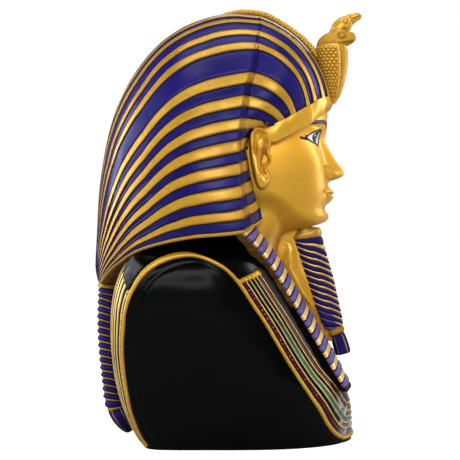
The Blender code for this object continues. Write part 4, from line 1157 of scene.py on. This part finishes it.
def collar_paint():
    """The torso's paint: black lacquer inside the arch and on the shoulders, banded inlay collar at front and back."""
    _, start, _ = collar_marks(arch_line())
    n = Nodes("collar_paint")
    d, s, front, back = (n.field(k) for k in ("out", "along", "front", "back"))
    wobble = n.math("MULTIPLY", n.math("SUBTRACT", n.noise(90, 3), 0.5), 0.9)
    d = n.math("ADD", d, wobble)
    colours = {"gold": GOLD_MID, "black": srgb(8, 8, 9), "maroon": srgb(54, 14, 16), "teal": srgb(10, 16, 15)}
    ramp = n.add("ShaderNodeValToRGB", Fac=n.math("DIVIDE", d, 30.0))
    metal = n.add("ShaderNodeValToRGB", Fac=n.math("DIVIDE", d, 30.0))
    for node, pick in ((ramp, lambda c: colours[c]), (metal, lambda c: (1, 1, 1, 1) if c == "gold" else (0, 0, 0, 1))):
        node.color_ramp.interpolation = "CONSTANT"
        elements = node.color_ramp.elements
        elements[0].position, elements[0].color = 0.0, pick(BANDS[0][1])
        elements[1].position, elements[1].color = BANDS[1][0] / 30, pick(BANDS[1][1])
        for place, colour in BANDS[2:]:
            element = elements.new(place / 30)
            element.color = pick(colour)
    is_gold = metal.outputs[0]
    # small white beads on the first band
    step = n.math("FRACT", n.math("DIVIDE", s, 2.7))
    bx = n.math("MULTIPLY", n.math("SUBTRACT", step, 0.5), 2.7)
    by = n.math("SUBTRACT", d, 4.2)
    bead = n.range(n.math("SQRT", n.math("ADD", n.math("MULTIPLY", bx, bx), n.math("MULTIPLY", by, by))), 0.85, 0.3)
    # inlay tiles on the other coloured bands
    tile = n.math("FRACT", n.math("DIVIDE", n.math("ADD", s, n.math("MULTIPLY", wobble, 0.6)), 3.4))
    cut = n.range(n.math("ABSOLUTE", n.math("SUBTRACT", tile, 0.5)), 0.44, 0.48)
    base = n.mix(n.math("MULTIPLY", n.math("MULTIPLY", cut, 0.7), front), ramp.outputs[0], srgb(14, 12, 12))
    green = n.math("MULTIPLY", n.between(d, 10.4, 13.6, 0.1), n.range(s, start + 26, start + 46))
    jade = n.mix(n.noise(210, 3), srgb(20, 84, 62), srgb(66, 118, 98))
    base = n.mix(green, base, jade)
    low = n.field("low")
    # nested rows on the breast, between the lappets
    row = n.math("FRACT", n.math("DIVIDE", n.math("SUBTRACT", d, 23.6), 9.0))
    fill = n.mix(n.range(n.math("FRACT", n.math("DIVIDE", n.math("SUBTRACT", d, 23.6), 18.0)), 0.49, 0.51),
                 srgb(40, 9, 12), srgb(22, 74, 58))
    breast = n.mix(n.between(row, 0.16, 0.62, 0.02), srgb(10, 9, 10), fill)
    line_row = n.math("MAXIMUM", n.between(row, 0.0, 0.13, 0.01), n.between(row, 0.65, 0.78, 0.01))
    chest = n.field("chest")
    base = n.mix(chest, base, breast)
    rows_gold = n.math("MULTIPLY", line_row, chest)
    # pale grey-silver and lilac patches, painted in places on the low front of the collar
    pale_patches = n.mix(n.noise(330, 4, 0.7), srgb(104, 112, 122), srgb(70, 60, 84))
    pale_patches = n.mix(n.range(n.noise(210, 2), 0.5, 0.62), pale_patches, srgb(176, 180, 186))
    base = n.mix(n.math("MULTIPLY", low, n.range(n.noise(75, 2), 0.46, 0.56, 0.08, 0.95)), base, pale_patches)
    bead = n.math("MULTIPLY", bead, front)
    base = n.mix(n.math("MULTIPLY", bead, n.range(n.noise(190, 2), 0.42, 0.6, 0.05, 0.6)), base, srgb(170, 128, 126))
    is_gold = n.math("MAXIMUM", n.math("MULTIPLY", is_gold, n.math("SUBTRACT", 1.0, chest)), rows_gold)
    # behind: plain gold rows, the gaps black, dull green and silver
    behind = n.between(n.math("FRACT", n.math("DIVIDE", d, BACK_PITCH)), 0.48, 0.96, 0.03)
    gaps = n.mix(n.range(n.noise(55, 3), 0.46, 0.56), srgb(10, 8, 10), srgb(40, 48, 45))
    gaps = n.mix(n.range(n.noise(34, 2), 0.55, 0.62), gaps, srgb(40, 12, 16))
    base = n.mix(back, base, gaps)
    is_gold = n.math("ADD", n.math("MULTIPLY", is_gold, n.math("SUBTRACT", 1.0, back)), n.math("MULTIPLY", behind, back))
    base = n.mix(is_gold, base, n.mix(0.35, gold_colour(n), srgb(236, 212, 158)))
    shown = n.math("MAXIMUM", front, back)
    lacquer = n.mix(n.noise(14, 4), srgb(1, 1, 1), srgb(5, 6, 6))
    # painted reflection: a grey sheen painted on the black behind the shoulder
    painted_sheen = n.math("MULTIPLY", n.field("painted_sheen"), n.range(n.noise(90, 4), 0.4, 0.6, 0.45, 1.0))
    lacquer = n.mix(painted_sheen, lacquer, srgb(78, 80, 86))
    colour = n.mix(shown, lacquer, base)
    bar = n.field("bar")
    colour = n.mix(bar, colour, gold_colour(n))
    gilt = n.math("MAXIMUM", n.math("MULTIPLY", is_gold, shown), bar)
    wave = n.noise(20, 2)
    brush = n.noise(150, 4, 0.6)
    bump = n.bump(n.math("ADD", n.math("MULTIPLY", brush, 0.12), wave), 0.25, 0.0016)
    return n.done(Base_Color=colour, Metallic=n.math("MULTIPLY", gilt, 0.4),
                  Roughness=n.range(n.math("ADD", gilt, n.math("MULTIPLY", shown, 0.4)), 0, 1, 0.24, 0.36), IOR=1.45,
                  Specular_IOR_Level=0.08, Normal=bump)


def torso(mats):
    path = arch_line()
    fine_front = np.linspace(0, 1.35, 190)
    panel = np.linspace(1.35, 2.15, 40)[1:]
    fine_back = np.linspace(2.15, math.pi, 104)[1:]
    turn = np.concatenate([fine_front, panel, fine_back])
    zs = np.concatenate([np.arange(0, 128, 0.75), np.arange(128, 146.1, 1.1)])
    base = torso_ring(zs, turn[None, :])
    z2 = base[..., 2]
    x2 = unroll(np.broadcast_to(turn[None, :], z2.shape), z2)
    d, s, side = distances(x2, z2, path)
    loop = np.concatenate([path[:-1], [[0, -30], [path[0, 0], -30]]])
    d = np.where(inside_polygon(x2, z2, loop), -d, d)
    s_top, start, stop = collar_marks(path)
    # behind, the rows end at a slant under the hem, with a grey patch beyond painted on the black as a sheen (a painted
    # reflection)
    stop = stop + 0.85 * np.clip(d - 2, 0, 12)
    front = smooth(start - 0.2, start + 0.2, s) * (d > 1.5)
    back = smooth(stop + 0.2, stop - 0.2, s) * (d > 1.5) * smooth(BACK_ROWS + 0.4, BACK_ROWS - 0.4, d)
    painted_sheen = smooth(stop + 1.0, stop + 1.6, s) * smooth(s_top - 33, s_top - 36, s) * smooth(2.2, 2.8, d) * smooth(14, 12, d)
    bar = smooth(1.15, 0.85, np.abs(s - start)) * smooth(1.2, 1.6, d) * smooth(23.8, 23.4, d)
    shown = np.maximum(front, back)
    starts = np.array([b[0] for b in BANDS])
    isgold = np.array([b[1] == "gold" for b in BANDS])
    height = np.zeros_like(d)
    for k in range(1, len(BANDS) - 1):
        if isgold[k]:
            centre, half = (starts[k] + starts[k + 1]) / 2, (starts[k + 1] - starts[k]) / 2
            height = np.maximum(height, 0.55 * smooth(half + 0.35, half - 0.25, np.abs(d - centre)))
    height = height * front + 0.9 * bar
    height += 0.25 * np.cos(2 * math.pi * (d / BACK_PITCH - 0.72)) * back
    beads = np.cos(2 * math.pi * (s / 2.7 + 0.5))
    height += 0.16 * front * smooth(1.6, 0.6, np.abs(d - 4.2)) * beads
    # the black panel is a smooth cushion with a narrow ledge inside the arch
    inside = smooth(0, -9, d)
    ledge = np.exp(-((d + 5.2) / 0.9) ** 2) * smooth(s_top + 24, s_top - 6, s)
    height += np.where(d < 0, 0.35 * inside - 0.6 * ledge, 0)
    height += 0.22 * waves(base, 16, 31) * smooth(-6, -16, d) - 0.5
    chest = smooth(27, 25, np.abs(base[..., 1])) * (base[..., 0] > 0) * smooth(25.0, 25.6, d)
    in_row = ((d - 23.6) / 9.0) % 1
    height += 0.4 * chest * ((in_row < 0.13) | ((in_row > 0.65) & (in_row < 0.78)))
    height = height * smooth(-1, 1.5, z2)
    normal = outward(normals(base), base, (-5, 0, 60))
    grid = base + normal * height[..., None]
    grid[:, 0, 1] = grid[:, -1, 1] = 0
    grid[0, :, 2] = 0
    n, m = d.shape
    fields = {"out": d, "along": s, "front": front, "back": back, "bar": bar,
              "low": smooth(38, 24, z2) * smooth(46, 32, x2) * (d > 0), "painted_sheen": painted_sheen,
              "chest": chest}
    core = np.stack([0 * zs - 10, 0 * zs, zs], axis=1)[:, None]
    ring = np.concatenate([grid, core], axis=1)
    packed = {k: np.concatenate([v, 0 * v[:, :1] + (-9 if k == "out" else 0)], axis=1) for k, v in fields.items()}
    made = []
    for name, sign in (("torso_right", 1), ("torso_left", -1)):
        made.append(tube(name, ring * np.array([1, sign, 1]), mats, None, packed))
    return made


def arch(mats):
    """The gold edge round the arm panel: a rounded band laid on the torso, meeting round the front of the base."""
    path = arch_line(170)[:-1]
    path = path[np.concatenate([[True], np.hypot(*np.diff(path, axis=0).T) > 0.2])]
    # back from unrolled to the torso's surface
    def place(x, z):
        z = np.clip(z, 0.0, 146)
        i = np.minimum(z.astype(int), 145)
        f = z - i
        def turn_at(row, value):
            return np.array([np.interp(v, RULER_X[r], RULER_TURN) for r, v in zip(row, value)])
        return turn_at(i, x) * (1 - f) + turn_at(i + 1, x) * f
    shift = np.array([-1.65, -1.4, -0.8, 0.0, 0.8, 1.4, 1.65])
    lift = np.array([-1.4, 0.35, 0.95, 1.15, 0.95, 0.35, -1.4])
    along = unit(np.gradient(path, axis=0))
    normal2 = np.stack([-along[:, 1], along[:, 0]], axis=1)
    run = np.concatenate([[0], np.cumsum(np.hypot(*np.diff(path, axis=0).T))])
    top = run[np.argmax(path[:, 1])]
    slim = np.interp(run - top, [-130, -75, -30, 0, 30, 60, 200], [0.62, 0.55, 0.9, 1.0, 0.95, 0.85, 0.9])
    rings = []
    for k in range(len(shift)):
        xz = path + normal2 * (shift[k] * slim)[:, None]
        z = np.maximum(xz[:, 1], 0.9)
        turn = place(np.maximum(xz[:, 0], 0.0), z)
        p = np.array([torso_ring(np.array([zz]), np.array([[t]]))[0, 0] for zz, t in zip(z, turn)])
        q = np.array([torso_ring(np.array([zz]), np.array([[t + 0.01]]))[0, 0] for zz, t in zip(z, turn)])
        h = np.array([torso_ring(np.array([zz + 0.5]), np.array([[t]]))[0, 0] for zz, t in zip(z, turn)])
        nn = unit(np.cross(q - p, h - p))
        nn *= np.sign(((p - np.array([-5, 0, 60])) * nn).sum(axis=-1, keepdims=True))
        rings.append(p + nn * (lift[k] * np.sqrt(slim))[:, None])
    rings = np.array(rings).transpose(1, 0, 2)
    inner = rings.mean(axis=1, keepdims=True) * 0.94 + np.array([-5, 0, 60]) * 0.06
    rings = np.concatenate([rings, inner], axis=1)
    rings[..., 0] += 0.12 * waves(rings, 7, 41)
    made = []
    for name, sign in (("arch_right", 1), ("arch_left", -1)):
        # painted shade on the flanks and underside of the gold band, none on its crest
        shade_and_highlight = np.array([0.7, 0.35, 0.05, 0.0, 0.05, 0.35, 0.7, 1.0])[None, :] + np.zeros((len(rings), 1))
        made.append(tube(name, rings * np.array([1, sign, 1]), mats, None, {"shade_and_highlight": shade_and_highlight}))
    return made


# ---------------------------------------------------------------- put together
scene = bpy.context.scene
gold_mat, blue_mat, line_mat, black_mat, face_mat = gold(), blue(), dark_line(), black(), face_paint()
stripe_mats = [gold_mat, line_mat, blue_mat]
cloth_mats = [gold("cloth_gold", painted_light=None), line_mat, blue_mat]

halves = torso([collar_paint()])
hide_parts("bust")
headcloth(cloth_mats)
head([face_mat])
# painted light: the ears, crown pieces and web get lighter copies of the gold
for piece in [*ears([gold("ear_paint", painted_light=0.35)]), *arch([gold_mat]), *[x for mats in [[gold("crown_gold", painted_light=0.2)]]
              for x in (ridge(mats), *cobra(mats), *vulture(mats))],
              beard_web([gold("web_gold", painted_light=0.4)])]:
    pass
for piece in [beard(stripe_mats), beard_tip(stripe_mats), pigtail(stripe_mats), *lappets(stripe_mats)]:
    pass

# ---------------------------------------------------------------- floor, light, camera
mesh = bpy.data.meshes.new("floor")
ring = [(12 * math.cos(t), 12 * math.sin(t), -0.0002) for t in np.linspace(0, 2 * math.pi, 64, endpoint=False)]
mesh.from_pydata(ring, [], [list(range(64))])
floor = bpy.data.objects.new("floor", mesh)
scene.collection.objects.link(floor)
n = Nodes("floor_paper")
lit = n.tree.nodes.new("ShaderNodeLightPath").outputs["Is Camera Ray"]
mesh.materials.append(n.done(Base_Color=n.mix(n.noise(6, 2), srgb(178, 178, 178), srgb(184, 184, 184)), Roughness=0.9,
                             Emission_Color=(1, 1, 1, 1), Emission_Strength=n.range(lit, 0, 1, 0.02, 0.95)))

world = bpy.data.worlds.new("studio")
scene.world = world
world.use_nodes = True
tree = world.node_tree
tree.nodes.clear()
out = tree.nodes.new("ShaderNodeOutputWorld")
seen, rest = tree.nodes.new("ShaderNodeBackground"), tree.nodes.new("ShaderNodeBackground")
seen.inputs[0].default_value, seen.inputs[1].default_value = (1, 1, 1, 1), 1.0
rest.inputs[0].default_value, rest.inputs[1].default_value = (0.94, 0.97, 1.0, 1), 0.16
path_node, choose = tree.nodes.new("ShaderNodeLightPath"), tree.nodes.new("ShaderNodeMixShader")
tree.links.new(path_node.outputs["Is Camera Ray"], choose.inputs[0])
tree.links.new(rest.outputs[0], choose.inputs[1])
tree.links.new(seen.outputs[0], choose.inputs[2])
tree.links.new(choose.outputs[0], out.inputs[0])


def softbox(name, place, aim, size, power, colour=(1, 1, 1)):
    data = bpy.data.lights.new(name, "AREA")
    data.shape, data.size, data.size_y = "RECTANGLE", size[0], size[1]
    data.energy, data.color = power, colour
    lamp = bpy.data.objects.new(name, data)
    scene.collection.objects.link(lamp)
    from mathutils import Vector
    lamp.location = place
    lamp.rotation_euler = (Vector(aim) - Vector(place)).to_track_quat("-Z", "Y").to_euler()
    return lamp


softbox("front_side", (0.4, -1.4, 0.45), (0, 0, 0.15), (0.24, 1.2), 13, (1, 0.93, 0.91))
softbox("back_side", (-0.35, 1.4, 0.55), (0, 0, 0.16), (0.8, 1.1), 11.5)
softbox("rim", (0.42, 1.5, 0.5), (0, 0, 0.17), (0.3, 1.1), 16)
softbox("key", (-1.2, -0.6, 1.1), (0, 0, 0.16), (0.6, 0.6), 8)
softbox("side", (-1.5, 0.0, 0.68), (0, 0, 0.16), (1.0, 0.55), 14)
softbox("far_side", (1.2, -0.3, 0.8), (0, 0, 0.16), (0.9, 0.9), 8)
softbox("top", (-0.1, 0.0, 1.3), (0, 0, 0.2), (0.7, 0.7), 5)

camera = bpy.data.objects.new("camera", bpy.data.cameras.new("camera"))
scene.collection.objects.link(camera)
scene.camera = camera
camera.data.sensor_width = 36
camera.data.lens = 36 * 1060 / 460
camera.data.clip_start, camera.data.clip_end = 0.05, 20
camera.location = (-0.742, CENTRE_U / 1000, 0.1435)
camera.rotation_euler = (math.radians(90), 0, math.radians(-90))
scene.view_settings.view_transform = "Standard"
